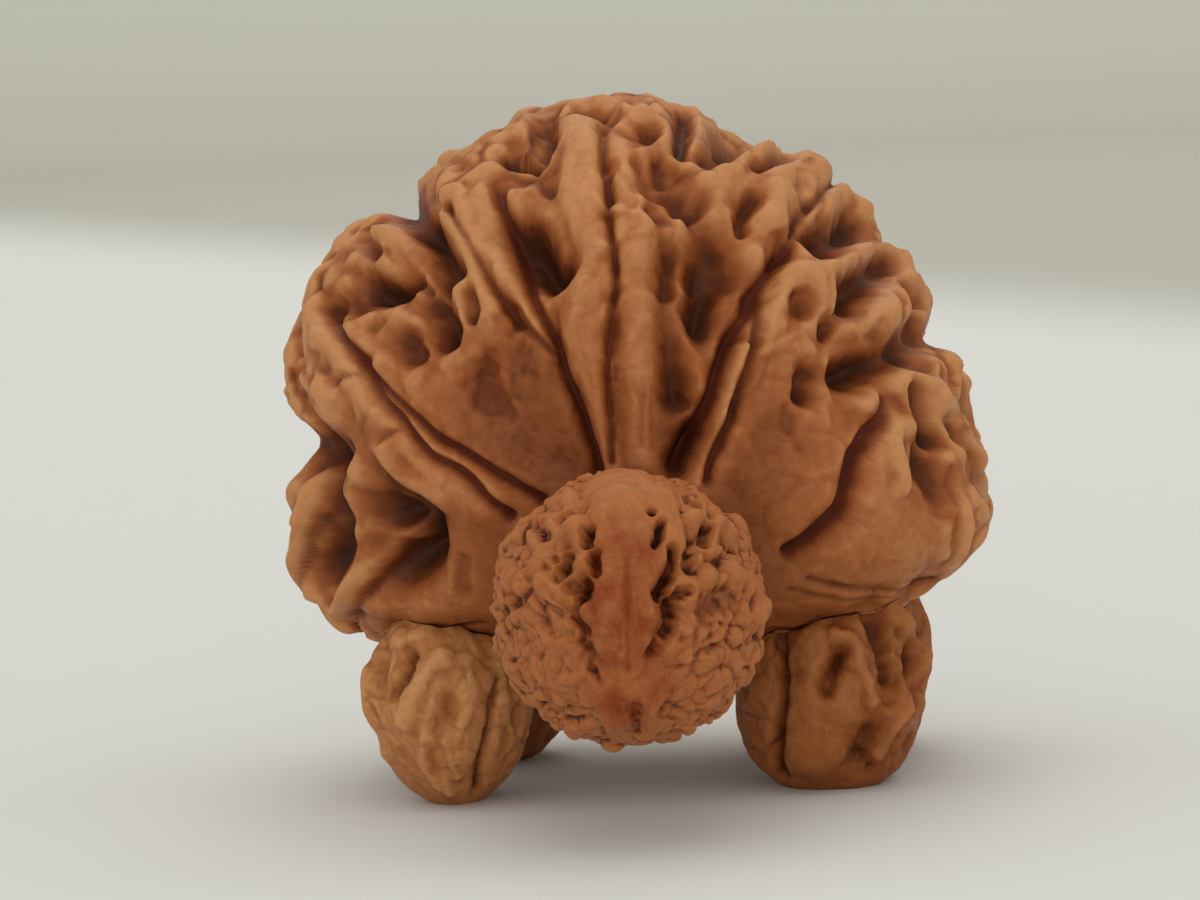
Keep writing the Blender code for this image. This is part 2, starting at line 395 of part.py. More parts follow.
head = {
    "name": "head_nut",
    "centre": (1.5, -27.5, 16.8),
    "half_width": (9.8, 9.9),
    "half_depth": (9.7, 9.7),
    "half_height": (9.8, 9.7),
    "squareness": (2.0, 2.0),
    "band_edge": 5.0,
    "panels": 19,
    "gather": 0.25,
    "finest": 0.5,
    "smooth_near": (171, 29),
    "lobes": [
        (4, 60, 3.0, 0.3),
        (174, 34, 3.0, 0.5),
    ],
    "bands": {
        "hood": (3.1, 1, [(1, 63.5), (9, 57)]),
        "hood side": (1, 1.1, [(21.5, 59), (28.5, 49), (35.5, 42.5), (38.5, 34.5)]),
        "band high": (2.2, 1.3, [(2, 50), (4.5, 33)]),
        "band middle": (2.05, 1.3, [(9, 30), (12, 20), (19, 10)]),
        "band low": (1.95, 1.3, [(17, 8), (149.5, 4.5)]),
        "band foot": (1.3, 1, [(158.5, 6.5), (167, 15.5)]),
        "band tooth one": (0.85, 1.3, [(17.5, 38)]),
        "band tooth two": (1.4, 1.3, [(25.5, 23.5)]),
        "band tooth three": (1.3, 1.3, [(68, 10.5)]),
        "band tooth left": (1, 1.3, [(-58, 4.5)]),
        "band tooth left high": (0.8, 1.3, [(-7, 45)]),
    },
    "ridges": {
        "nose patch": (1.5, 0.84, [(176, 20.5), (166.5, 25)]),
        "left finger high": (0.95, 1.8, [(-22.5, 44.5), (-20.5, 39.5), (-19, 35)]),
        "left finger low": (0.8, 1.68, [(-24, 28), (-21, 24)]),
        "left finger last": (0.7, 1.44, [(-55.5, 13), (-62.5, 9.5)]),
        "left knob high": (0.9, 1.08, [(-21.5, 65.5), (-21.5, 58.5)]),
        "left bead one": (0.4, 0.72, [(-19, 52.5)]),
        "left bead two": (0.4, 0.72, [(-14.5, 54.5)]),
        "left crest one": (0.5, 0.96, [(-34, 59), (-27, 55), (-21, 54)]),
        "left crest two": (0.6, 1.08, [(-33.5, 54), (-32.5, 46), (-32.5, 41)]),
        "left crest three": (0.6, 0.96, [(-46.5, 47), (-43.5, 40), (-35.5, 37.5)]),
        "left crest four": (0.6, 0.84, [(-57.5, 38.5), (-57, 30), (-47, 26)]),
        "right lobe one": (0.8, 1.44, [(33.5, 67.5), (37.5, 62), (37.5, 56)]),
        "right knob one": (0.5, 1.08, [(41.5, 68)]),
        "right knob two": (0.7, 0.84, [(53.5, 71.5)]),
        "right worm one": (0.65, 1.08, [(52, 52), (48, 59), (47.5, 67.5)]),
        "right knob three": (0.55, 1.32, [(53, 43)]),
        "right knob four": (0.8, 0.96, [(65, 44.5)]),
        "right knob five": (0.8, 0.96, [(62.5, 35)]),
        "right knob low": (0.9, 0.96, [(113.5, 21.5)]),
        "right edge lobe": (0.9, 0.84, [(82.5, 71.5), (90.5, 73.5)]),
        "right knob six": (0.8, 0.72, [(67.5, 59), (73.5, 60)]),
        "left bead three": (0.4, 0.84, [(-31, 37)]),
        "left bead four": (0.45, 0.96, [(-55.5, 20)]),
        "left bead five": (0.5, 0.84, [(-59.5, 25.5)]),
        "left bead six": (0.45, 0.84, [(-101.5, 15)]),
        "left bead seven": (0.5, 0.72, [(-84, 19.5)]),
        "right bead one": (0.4, 0.96, [(43.5, 39)]),
        "right bead two": (0.4, 1.08, [(57, 27)]),
        "right bead three": (0.45, 0.96, [(73, 27.5)]),
        "right bead four": (0.45, 0.96, [(93, 24.5)]),
        "right bead five": (0.5, 0.84, [(96.5, 29)]),
        "right bead six": (0.4, 0.84, [(42.5, 60.5)]),
        "nose left": (0.7, 0.84, [(-165, 25), (-169, 34.5), (-173.5, 44.5)]),
        "nose middle": (0.4, 0.6, [(179, 32), (176.5, 44)]),
        "nose right": (0.6, 0.84, [(160.5, 32), (162, 42), (167, 52)]),
        "left ring": (0.45, 0.8, [(-42, 68.5), (-45.5, 59), (-45.5, 49.5), (-38.5, 45)]),
        "left knob one": (0.5, 0.8, [(-46.5, 35.5)]),
        "left knob two": (0.45, 0.7, [(-53, 42)]),
        "left knob three": (0.45, 0.8, [(-123, 9)]),
        "left knob four": (0.45, 0.7, [(-120, 17)]),
        "left knob five": (0.4, 0.7, [(-14, 42)]),
        "right knob seven": (0.5, 0.8, [(56.5, 56.5)]),
        "right knob eight": (0.45, 0.8, [(70, 51.5)]),
        "right knob nine": (0.5, 0.7, [(117.5, 32.5)]),
        "right knob ten": (0.5, 0.8, [(29.5, 53)]),
    },
    "grooves": {
        "left edge line": (0.24, 0.6, [
            (-55.5, 17.5), (-73.5, 17), (-90, 12.5), (-112, 15), (-136.5, 14.5), (-144.5, 20),
            (-159, 23.5)]),
        "centre line": (0.2, 0.35, [(12, 26.5), (25, 12), (96, 4.5), (152.5, 10), (166, 17)]),
        "centre line twin": (0.16, 0.25, [(57.5, 3), (162.5, 8)]),
        "band line left": (0.2, 0.2, [(-0.5, 42), (1, 25.5), (-1.5, 14.5)]),
        "nose crease": (0.24, 0.4, [(171, 34), (174, 44), (175.5, 58.5)]),
        "low crease one": (0.22, 0.4, [(-134.5, 62), (-147, 50.5), (-161.5, 39.5)]),
        "low crease two": (0.22, 0.4, [(-141, 67.5), (-152, 57.5), (-164, 45)]),
        "low crease three": (0.22, 0.4, [(153.5, 42.5), (146, 58.5), (136, 71.5)]),
        "right crease one": (0.22, 0.35, [(104.5, 38.5), (97.5, 46), (89.5, 51.5), (81.5, 52.5)]),
        "right crease two": (0.22, 0.35, [(110.5, 43), (102.5, 50.5), (93, 56), (81.5, 57.5)]),
        "right crease three": (0.22, 0.35, [(70.5, 89), (79, 73.5), (89.5, 68)]),
        "back line": (0.4, 0.6, [(2, 96), (0, 120), (0, 150)]),
    },
    "slots": {
        "hood hole": (0.26, 1.01, [(18.5, 48.5)]),
        "hood slot": (0.26, 1.25, [(25.5, 46.5), (27.5, 40), (26.5, 36.5)]),
        "left gap high": (0.33, 1.56, [(-15, 40), (-18, 34)]),
        "left gap middle": (0.31, 1.56, [(-13.5, 29), (-18, 23)]),
        "left gap low": (0.4, 1.64, [(-31.5, 21), (-49, 18.5)]),
        "left gap wide": (0.4, 1.01, [(-47, 25.5), (-40.5, 20.5)]),
        "left gap side": (0.4, 1.1, [(-33.5, 35), (-43, 32.5)]),
        "left gap small": (0.35, 0.78, [(-41.5, 38.5)]),
        "left eye": (0.37, 1.17, [(-42.5, 71), (-42.5, 62)]),
        "right slot high": (0.37, 1.25, [(29, 76), (32.5, 66), (36.5, 63)]),
        "right slot middle": (0.37, 1.25, [(45.5, 59.5), (50, 52)]),
        "right slot low": (0.32, 1.09, [(49, 43), (54, 39.5)]),
        "right gap": (0.37, 1.64, [(39, 38.5), (45.5, 33), (51, 26), (54, 21)]),
        "right gap low": (0.45, 1.5, [(68.5, 24), (85.5, 23.5), (103, 20)]),
        "right gap side": (0.35, 0.86, [(66.5, 27.5), (66, 33)]),
        "right gap foot": (0.4, 1, [(114.5, 18), (129.5, 17)]),
        "right eye": (0.35, 0.86, [(103, 70)]),
    },
    "pits": {
        "left pit one": (0.6, 0.9, [(-79, 53.5)]),
        "left pit two": (0.6, 0.9, [(-91.5, 83), (-94, 77)]),
        "left pit four": (0.7, 0.6, [(-86, 35)]),
        "left pit five": (0.5, 0.7, [(-32, 39.5)]),
        "right hollow": (0.9, 1.2, [(84.5, 41.5), (82, 48)]),
        "right pit one": (0.5, 0.9, [(46, 98)]),
        "right pit two": (0.5, 0.8, [(62.5, 68.5)]),
        "right pit three": (0.6, 0.8, [(85.5, 70.5)]),
        "low pit left": (0.5, 0.9, [(-165.5, 75.5)]),
        "low pit right": (0.5, 0.9, [(160.5, 68)]),
        "low notch": (0.5, 0.8, [(158, 44.5)]),
        "saddle": (1.6, 0.6, [(3, 92)]),
    },
    "net": {"cells": 420, "seed": 4, "stretch": 0.85, "wall": 0.3, "low": -0.18, "high": -0.26,
            "from": 10.0, "to": 60.0, "uneven": 0.5, "calm": 1.0},
    "colour": (0.260, 0.085, 0.030, 1.0),
}

front_left = {
    "name": "leg_front_left",
    "centre": (-14.2, -8.2, 6.9),
    "half_width": (6.1, 6.0),
    "half_depth": (6.4, 6.4),
    "half_height": (7.5, 8.0),
    "squareness": (1.72, 2.2),
    "band_edge": 3.5,
    "panels": 8,
    "finest": 0.65,
    "smooth_near": (175, 75),
    "lobes": [(-75, 60, 4.0, 0.4)],
    "ridges": {
        "crest": (0.65, 1.3, [(3, 38), (-10, 33), (-19, 28), (-33, 24), (-57, 22), (-87, 24)]),
        "pale face": (1.8, 0.5, [(-77, 24), (-108, 23)]),
        "upper ridge": (0.5, 0.9, [(-2, 22), (-18, 12), (-78, 8), (-131, 15)]),
        "tip ridge left": (0.45, 0.8, [(-142, 23), (-159, 35), (-174, 46)]),
        "tip ridge middle": (0.4, 0.8, [(-148, 13), (-171, 25), (-179, 40), (179, 53)]),
        "tip ridge right": (0.4, 0.7, [(173, 14), (170, 25), (168, 39)]),
        "side ridge": (0.9, 0.5, [(43, 27), (118, 17), (156, 28)]),
        "outer ridge": (0.7, 0.7, [(-60, 70), (-85, 62), (-118, 60)]),
    },
    "grooves": {
        "seam": (0.3, 0.8, [(54, 49.5), (71.5, 37.5), (100, 33.5), (131, 38), (151, 49), (163, 67)]),
    },
    "pits": {
        "side pit": (0.7, 1, [(112, 89)]),
        "side hollow": (0.8, 0.5, [(90, 60)]),
        "crest valley": (0.6, 1.3, [(-24, 50), (-36, 41), (-58, 40)]),
        "hollow one": (0.9, 0.7, [(-52, 61), (-62, 49)]),
        "hollow two": (0.8, 0.5, [(-84, 57), (-104, 62)]),
        "ridge valley": (0.6, 0.7, [(11, 16), (-84, 2)]),
        "tip valley": (0.5, 0.8, [(-165, 22), (-175, 36)]),
    },
    "net": {"cells": 90, "seed": 21, "stretch": 0.6, "wall": 0.6, "low": 0.15, "high": 0.45,
            "from": 20.0, "to": 80.0, "uneven": 0.3, "calm": 0.85},
    "colour": (0.350, 0.135, 0.048, 1.0),
    "foot": True,
}

front_right = {
    "name": "leg_front_right",
    "centre": (14.2, -5.0, 6.8),
    "half_width": (6.9, 6.7),
    "half_depth": (6.6, 6.6),
    "half_height": (7.6, 8.6),
    "squareness": (2.3, 2.2),
    "band_edge": 3.5,
    "panels": 8,
    "finest": 0.65,
    "smooth_near": (178, 80),
    "lobes": [(75, 80, 4.0, 0.3)],
    "bands": {
        "plateau": (2.1, 1, [(-15, 5), (-154, 14), (-163, 28)]),
        "plateau right": (1.5, 1, [(56, 17), (83, 12)]),
        "plateau top": (1.2, 1, [(-8, 39), (-13, 27)]),
    },
    "ridges": {
        "plateau rim": (0.65, 1.3, [(10, 41), (22, 40), (32, 34), (45, 29), (67, 27), (85, 27)]),
        "outer ridge": (0.62, 1.5, [
            (33, 72), (46, 73), (58, 79), (68, 82), (77, 70), (86, 61), (96, 51), (106, 44),
            (123, 43), (138, 45)]),
        "inner strand": (0.5, 0.6, [(39, 72), (46, 63), (56, 56)]),
        "outer fold": (0.5, 0.6, [(93, 70), (102, 59), (112, 51)]),
        "top bead one": (0.6, 0.5, [(-4, 49), (3, 42)]),
        "top bead two": (0.6, 0.4, [(16, 48), (23, 52)]),
        "inner face": (1.6, 0.5, [(-75, 41), (-102, 39)]),
    },
    "grooves": {
        "seam": (0.35, 1, [
            (-29, 54), (-42, 38), (-67, 28), (-97.5, 28), (-117, 34), (-133, 45), (-148, 62.5)]),
        "top line": (0.3, 0.5, [(-5, 62), (7, 63.5), (19, 66)]),
    },
    "pits": {
        "front pit": (0.5, 1.3, [(17, 33), (14, 24), (3, 11)]),
        "valley": (0.8, 1.5, [(32, 62), (48, 54), (69, 47)]),
        "red hollow": (0.75, 1.8, [(61, 76), (75, 68), (90, 62)]),
        "low hollow": (1, 1.4, [(129, 38), (151, 43)]),
        "low pit": (0.5, 0.7, [(149, 54)]),
        "right low hollow": (0.6, 0.6, [(121, 67)]),
    },
    "net": {"cells": 90, "seed": 33, "stretch": 0.6, "wall": 0.6, "low": 0.15, "high": 0.45,
            "from": 20.0, "to": 80.0, "uneven": 0.3, "calm": 0.85},
    "colour": (0.340, 0.125, 0.045, 1.0),
    "foot": True,
}

rear_left = {
    "name": "leg_rear_left",
    "centre": (-13.4, 11.5, 6.8),
    "half_width": (6.2, 6.2),
    "half_depth": (6.6, 6.6),
    "half_height": (7.4, 8.2),
    "squareness": (2.1, 2.2),
    "band_edge": 3.5,
    "panels": 8,
    "finest": 0.65,
    "smooth_near": (178, 95),
    "lobes": [(-90, 90, 4.0, 0.3)],
    "ridges": {
        "side ridge": (0.9, 0.7, [(-60, 80), (-95, 72), (-125, 80)]),
        "back ridge": (0.9, 0.8, [(-40, 130), (-90, 150), (-140, 135)]),
    },
    "grooves": {
        "seam": (0.35, 0.8, [(40, 100), (90, 80), (140, 90), (165, 96)]),
    },
    "pits": {
        "back hollow": (1.0, 1.0, [(-70, 125)]),
    },
    "net": {"cells": 90, "seed": 45, "stretch": 0.6, "wall": 0.6, "low": 0.15, "high": 0.45,
            "from": 20.0, "to": 80.0, "uneven": 0.3, "calm": 0.85},
    "colour": (0.340, 0.128, 0.046, 1.0),
    "foot": True,
}

rear_right = {
    "name": "leg_rear_right",
    "centre": (13.9, 11.5, 7.4),
    "half_width": (6.6, 6.4),
    "half_depth": (6.9, 6.9),
    "half_height": (8.1, 8.6),
    "squareness": (2.1, 2.2),
    "band_edge": 3.5,
    "panels": 8,
    "finest": 0.65,
    "smooth_near": (178, 95),
    "lobes": [(80, 90, 4.0, 0.3)],
    "ridges": {
        "side ridge": (0.9, 0.8, [(55, 85), (90, 78), (125, 84)]),
        "back ridge": (0.9, 0.8, [(40, 130), (90, 150), (140, 135)]),
    },
    "grooves": {
        "seam": (0.35, 0.8, [(-40, 100), (-90, 80), (-140, 90), (-165, 96)]),
    },
    "pits": {
        "back hollow": (1.0, 1.0, [(70, 125)]),
    },
    "net": {"cells": 90, "seed": 57, "stretch": 0.6, "wall": 0.6, "low": 0.15, "high": 0.45,
            "from": 20.0, "to": 80.0, "uneven": 0.3, "calm": 0.85},
    "colour": (0.340, 0.128, 0.046, 1.0),
    "foot": True,
}

legs = [front_left, front_right, rear_left, rear_right]


def highest_around(nut, d, angle):
    """The greatest radius of a nut within a small angle of each direction."""
    best = nut_radius(nut, d)
    side = np.cross(d, np.array([0.31, 0.17, 0.93]))
    side = side / np.linalg.norm(side, axis=1)[:, None]
    other = np.cross(d, side)
    for k in range(6):
        turn = math.radians(60.0 * k)
        near = d + angle * (math.cos(turn) * side + math.sin(turn) * other)
        near = near / np.linalg.norm(near, axis=1)[:, None]
        best = np.maximum(best, nut_radius(nut, near))
    return best


def seat_against_shell(p):
    """Points that would lie inside the shell nut are moved out to just clear of it."""
    centre = np.array(shell["centre"])
    v = p - centre
    r = np.linalg.norm(v, axis=1)
    d = v / r[:, None]
    clear = highest_around(shell, d, seat_reach) + seat_gap
    inside = r < clear
    p = p.copy()
    p[inside] = centre + d[inside] * clear[inside][:, None]
    return p


def ball(panels, gather):
    """A cube cut into panels, its corners ready to be thrown out onto a ball. A gather
    above 0 brings them closer together at the front."""
    bm = bmesh.new()
    bmesh.ops.create_cube(bm, size=2.0)
    bmesh.ops.subdivide_edges(bm, edges=bm.edges[:], cuts=panels - 1, use_grid_fill=True)
    c = np.array([v.co[:] for v in bm.verts])
    c = np.tan(c * math.pi / 4.0)
    d = c / np.linalg.norm(c, axis=1)[:, None] + np.array([0.0, -gather, 0.0])
    return bm, d / np.linalg.norm(d, axis=1)[:, None]


def grind_foot(bm, level):
    """Cut the mesh off flat at the level and close it with one flat face."""
    for v in bm.verts:
        if abs(v.co.z - level) < foot_snap:
            v.co.z = level
    geom = bm.verts[:] + bm.edges[:] + bm.faces[:]
    cut = bmesh.ops.bisect_plane(bm, geom=geom, dist=0.000001, plane_co=(0.0, 0.0, level),
                                 plane_no=(0.0, 0.0, 1.0), clear_inner=True)
    rim = [e for e in cut["geom_cut"] if isinstance(e, bmesh.types.BMEdge)]
    sole = bmesh.ops.contextual_create(bm, geom=rim)["faces"][0]
    sole.normal_update()
    if sole.normal.z > 0.0:
        sole.normal_flip()


def make_nut(nut, group, touches_shell):
    bm, d = ball(nut["panels"], nut.get("gather", 0.0))
    p = np.array(nut["centre"]) + d * nut_radius(nut, d)[:, None]
    if touches_shell:
        p = seat_against_shell(p)
    local = (p - np.array(nut["centre"])) * mm
    for v, co in zip(bm.verts, local):
        v.co = co
    if nut.get("foot"):
        grind_foot(bm, -nut["centre"][2] * mm)
    bmesh.ops.triangulate(bm, faces=bm.faces[:])
    for f in bm.faces:
        f.smooth = True
    mesh = bpy.data.meshes.new(nut["name"])
    bm.to_mesh(mesh)
    bm.free()
    mesh.materials.append(nut_material(nut))
    obj = bpy.data.objects.new(nut["name"], mesh)
    obj.location = [c * mm for c in nut["centre"]]
    group.objects.link(obj)
    return obj


def nut_material(nut):
    mat = bpy.data.materials.new(nut["name"] + "_hull")
    mat.use_nodes = True
    skin = mat.node_tree.nodes["Principled BSDF"]
    skin.inputs["Base Color"].default_value = nut["colour"]
    skin.inputs["Roughness"].default_value = 0.45
    skin.inputs["Metallic"].default_value = 0.0
    return mat


for old in list(bpy.data.objects):
    bpy.data.objects.remove(old, do_unlink=True)

turtle = bpy.data.collections.new("walnut_turtle")
bpy.context.scene.collection.children.link(turtle)

pieces = [make_nut(shell, turtle, False), make_nut(head, turtle, True)]
for leg in legs:
    pieces.append(make_nut(leg, turtle, True))

# The whole figure is moved so that the middle of its footprint is the origin
corners = []
for obj in pieces:
    for v in obj.data.vertices:
        corners.append(obj.location + v.co)
corners = np.array(corners)
middle = (corners.min(axis=0) + corners.max(axis=0)) / 2.0
for obj in pieces:
    obj.location.x -= middle[0]
    obj.location.y -= middle[1]
print("middle", [round(float(c) * 1000.0, 3) for c in middle])
print("size", [round(float(c) * 1000.0, 2) for c in corners.max(axis=0) - corners.min(axis=0)])
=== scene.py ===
import math

import bmesh
import bpy
import numpy as np
from mathutils import Matrix, Vector


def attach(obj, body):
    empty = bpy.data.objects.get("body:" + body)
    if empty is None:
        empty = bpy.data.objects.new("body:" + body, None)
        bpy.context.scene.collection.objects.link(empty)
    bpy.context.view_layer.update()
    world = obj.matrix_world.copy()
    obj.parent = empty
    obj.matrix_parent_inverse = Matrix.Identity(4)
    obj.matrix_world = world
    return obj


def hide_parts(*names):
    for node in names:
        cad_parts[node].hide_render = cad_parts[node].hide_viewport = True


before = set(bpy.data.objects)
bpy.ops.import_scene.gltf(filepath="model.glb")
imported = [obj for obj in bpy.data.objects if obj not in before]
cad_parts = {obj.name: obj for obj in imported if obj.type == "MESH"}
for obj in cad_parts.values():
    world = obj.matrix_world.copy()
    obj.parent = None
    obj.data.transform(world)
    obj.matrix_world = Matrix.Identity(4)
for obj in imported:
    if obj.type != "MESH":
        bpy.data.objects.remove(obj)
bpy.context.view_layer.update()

mm = 0.001

# Where the nuts' shared drawing frame sits in the figure's own frame, in mm
figureShift = (0.056, 8.317, 0.0)

# The camera looks at the front of the figure, a little from the right and above
view = {
    "aimAt": (0.0, 0.0, 26.0),       # middle of the big nut, mm
    "aimShift": (-2.90, -0.76),      # how far the aim is off it, to the right and up, mm
    "azimuth": 6.0,
    "elevation": 6.0,
    "roll": 2.7,
    "distance": 420.0,
    "lens": 165.0,
    "sensor": 36.0,
    "nearest": 0.01,                 # metres, nothing closer is drawn
}


def placeCamera():
    az = math.radians(view["azimuth"])
    el = math.radians(view["elevation"])
    back = Vector((math.sin(az) * math.cos(el), -math.cos(az) * math.cos(el), math.sin(el)))
    right = Vector((math.cos(az), math.sin(az), 0.0))
    up = back.cross(right)
    turn = Matrix.Rotation(math.radians(view["roll"]), 3, -back)
    right = turn @ right
    up = turn @ up
    aim = Vector(view["aimAt"]) + Vector(figureShift)
    aim = aim + right * view["aimShift"][0] + up * view["aimShift"][1]
    place = (aim + back * view["distance"]) * mm
    camData = bpy.data.cameras.new("frontCamera")
    camData.lens = view["lens"]
    camData.sensor_width = view["sensor"]
    camData.clip_start = view["nearest"]
    camera = bpy.data.objects.new("frontCamera", camData)
    camera.matrix_world = Matrix((
        (right.x, up.x, back.x, place.x),
        (right.y, up.y, back.y, place.y),
        (right.z, up.z, back.z, place.z),
        (0.0, 0.0, 0.0, 1.0),
    ))
    bpy.context.scene.collection.objects.link(camera)
    bpy.context.scene.camera = camera


placeCamera()
print("camera placed")


# A pale floor that turns darker beyond a soft slanted edge and bends up into a backdrop
stageLook = {
    "floor": (219, 220, 217),
    "farFloor": (184, 183, 174),
    "backdrop": (204, 206, 198),
    "edgeAt": 0.467,                 # where the floor's colour changes, metres behind the origin
    "edgeSlant": 1.35,               # how much nearer that edge comes to the right, per metre
    "edgeSoft": 0.16,
    "frontEdge": -1.2,
    "bendAt": 0.95,
    "bendRadius": 0.14,
    "bendSteps": 24,
    "climb": 0.10,                   # height over which the floor's tone turns into the backdrop's
    "reach": 1.6,                    # half of its width
    "height": 1.5,
    "roughness": 0.9,
    "specular": 0.1,
}


# Colours are seen and picked in the usual 0 to 255 way and turned linear here
def tint(r, g, b):
    out = []
    for c in (r, g, b):
        c = c / 255.0
        out.append(c / 12.92 if c <= 0.04045 else ((c + 0.055) / 1.055) ** 2.4)
    return (out[0], out[1], out[2], 1.0)


def addStage():
    profile = [(stageLook["frontEdge"], 0.0), (stageLook["bendAt"], 0.0)]
    for k in range(1, stageLook["bendSteps"] + 1):
        turn = math.radians(90.0 * k / stageLook["bendSteps"])
        profile.append((stageLook["bendAt"] + stageLook["bendRadius"] * math.sin(turn),
                        stageLook["bendRadius"] * (1.0 - math.cos(turn))))
    profile.append((stageLook["bendAt"] + stageLook["bendRadius"], stageLook["height"]))
    bm = bmesh.new()
    left = [bm.verts.new((-stageLook["reach"], y, z)) for y, z in profile]
    right = [bm.verts.new((stageLook["reach"], y, z)) for y, z in profile]
    for i in range(len(profile) - 1):
        face = bm.faces.new((left[i], right[i], right[i + 1], left[i + 1]))
        face.smooth = True
    mesh = bpy.data.meshes.new("paleSweep")
    bm.to_mesh(mesh)
    bm.free()
    sweep = bpy.data.objects.new("paleSweep", mesh)
    bpy.context.scene.collection.objects.link(sweep)

    mat = bpy.data.materials.new("paleSweep")
    mat.use_nodes = True
    tree = mat.node_tree
    skin = tree.nodes["Principled BSDF"]
    skin.inputs["Roughness"].default_value = stageLook["roughness"]
    skin.inputs["Specular IOR Level"].default_value = stageLook["specular"]
    coords = tree.nodes.new("ShaderNodeTexCoord")
    split = tree.nodes.new("ShaderNodeSeparateXYZ")
    tree.links.new(coords.outputs["Object"], split.inputs[0])
    slanted = tree.nodes.new("ShaderNodeMath")
    slanted.operation = "MULTIPLY_ADD"
    slanted.inputs[1].default_value = stageLook["edgeSlant"]
    tree.links.new(split.outputs["X"], slanted.inputs[0])
    tree.links.new(split.outputs["Y"], slanted.inputs[2])
    edge = tree.nodes.new("ShaderNodeMapRange")
    edge.interpolation_type = "SMOOTHSTEP"
    edge.inputs["From Min"].default_value = stageLook["edgeAt"] - 0.5 * stageLook["edgeSoft"]
    edge.inputs["From Max"].default_value = stageLook["edgeAt"] + 0.5 * stageLook["edgeSoft"]
    tree.links.new(slanted.outputs[0], edge.inputs["Value"])
    climb = tree.nodes.new("ShaderNodeMapRange")
    climb.inputs["From Max"].default_value = stageLook["climb"]
    tree.links.new(split.outputs["Z"], climb.inputs["Value"])
    near = tree.nodes.new("ShaderNodeMix")
    near.data_type = "RGBA"
    near.inputs[6].default_value = tint(*stageLook["floor"])
    near.inputs[7].default_value = tint(*stageLook["farFloor"])
    tree.links.new(edge.outputs["Result"], near.inputs[0])
    far = tree.nodes.new("ShaderNodeMix")
    far.data_type = "RGBA"
    far.inputs[7].default_value = tint(*stageLook["backdrop"])
    tree.links.new(climb.outputs["Result"], far.inputs[0])
    tree.links.new(near.outputs[2], far.inputs[6])
    tree.links.new(far.outputs[2], skin.inputs["Base Color"])
    mesh.materials.append(mat)


addStage()
print("floor and backdrop made")


lamps = [
    {"name": "overheadSoft", "size": 1.0, "watts": 1.8, "at": (0.05, -0.06, 1.10), "aim": (0.0, 0.0, 0.026),
     "colour": (1.0, 0.985, 0.955)},
    {"name": "frontFill", "size": 0.50, "watts": 1.4, "at": (0.05, -0.85, 0.18), "aim": (0.0, 0.0, 0.026),
     "colour": (1.0, 0.98, 0.95)},
    {"name": "backdropWash", "size": 0.80, "watts": 2.5, "at": (0.0, 0.80, 0.95), "aim": (0.0, 0.95, 0.0),
     "colour": (1.0, 0.985, 0.955)},
]
skyLight = {"colour": (0.97, 0.96, 0.92, 1.0), "strength": 0.78}


def addLights():
    for lamp in lamps:
        data = bpy.data.lights.new(lamp["name"], "AREA")
        data.shape = "DISK"
        data.size = lamp["size"]
        data.energy = lamp["watts"]
        data.color = lamp["colour"]
        obj = bpy.data.objects.new(lamp["name"], data)
        obj.location = lamp["at"]
        aim = Vector(lamp["aim"]) - obj.location
        obj.rotation_euler = aim.to_track_quat("-Z", "Y").to_euler()
        bpy.context.scene.collection.objects.link(obj)
    world = bpy.data.worlds.new("softSky")
    world.use_nodes = True
    sky = world.node_tree.nodes["Background"]
    sky.inputs["Color"].default_value = skyLight["colour"]
    sky.inputs["Strength"].default_value = skyLight["strength"]
    bpy.context.scene.world = world


addLights()
print("lights set")


# A place on a nut is (clock, polar) in degrees about its centre: clock 0 is up, +90 is
# the figure's +X side, polar 0 is straight ahead and 180 straight back. A stroke is
# (half width, height, [places along its crest or bottom]). All sizes are in mm,
# apart from those of the fine relief, which are in metres.

# The glued nuts keep this much air, mm
seatGap = 0.12

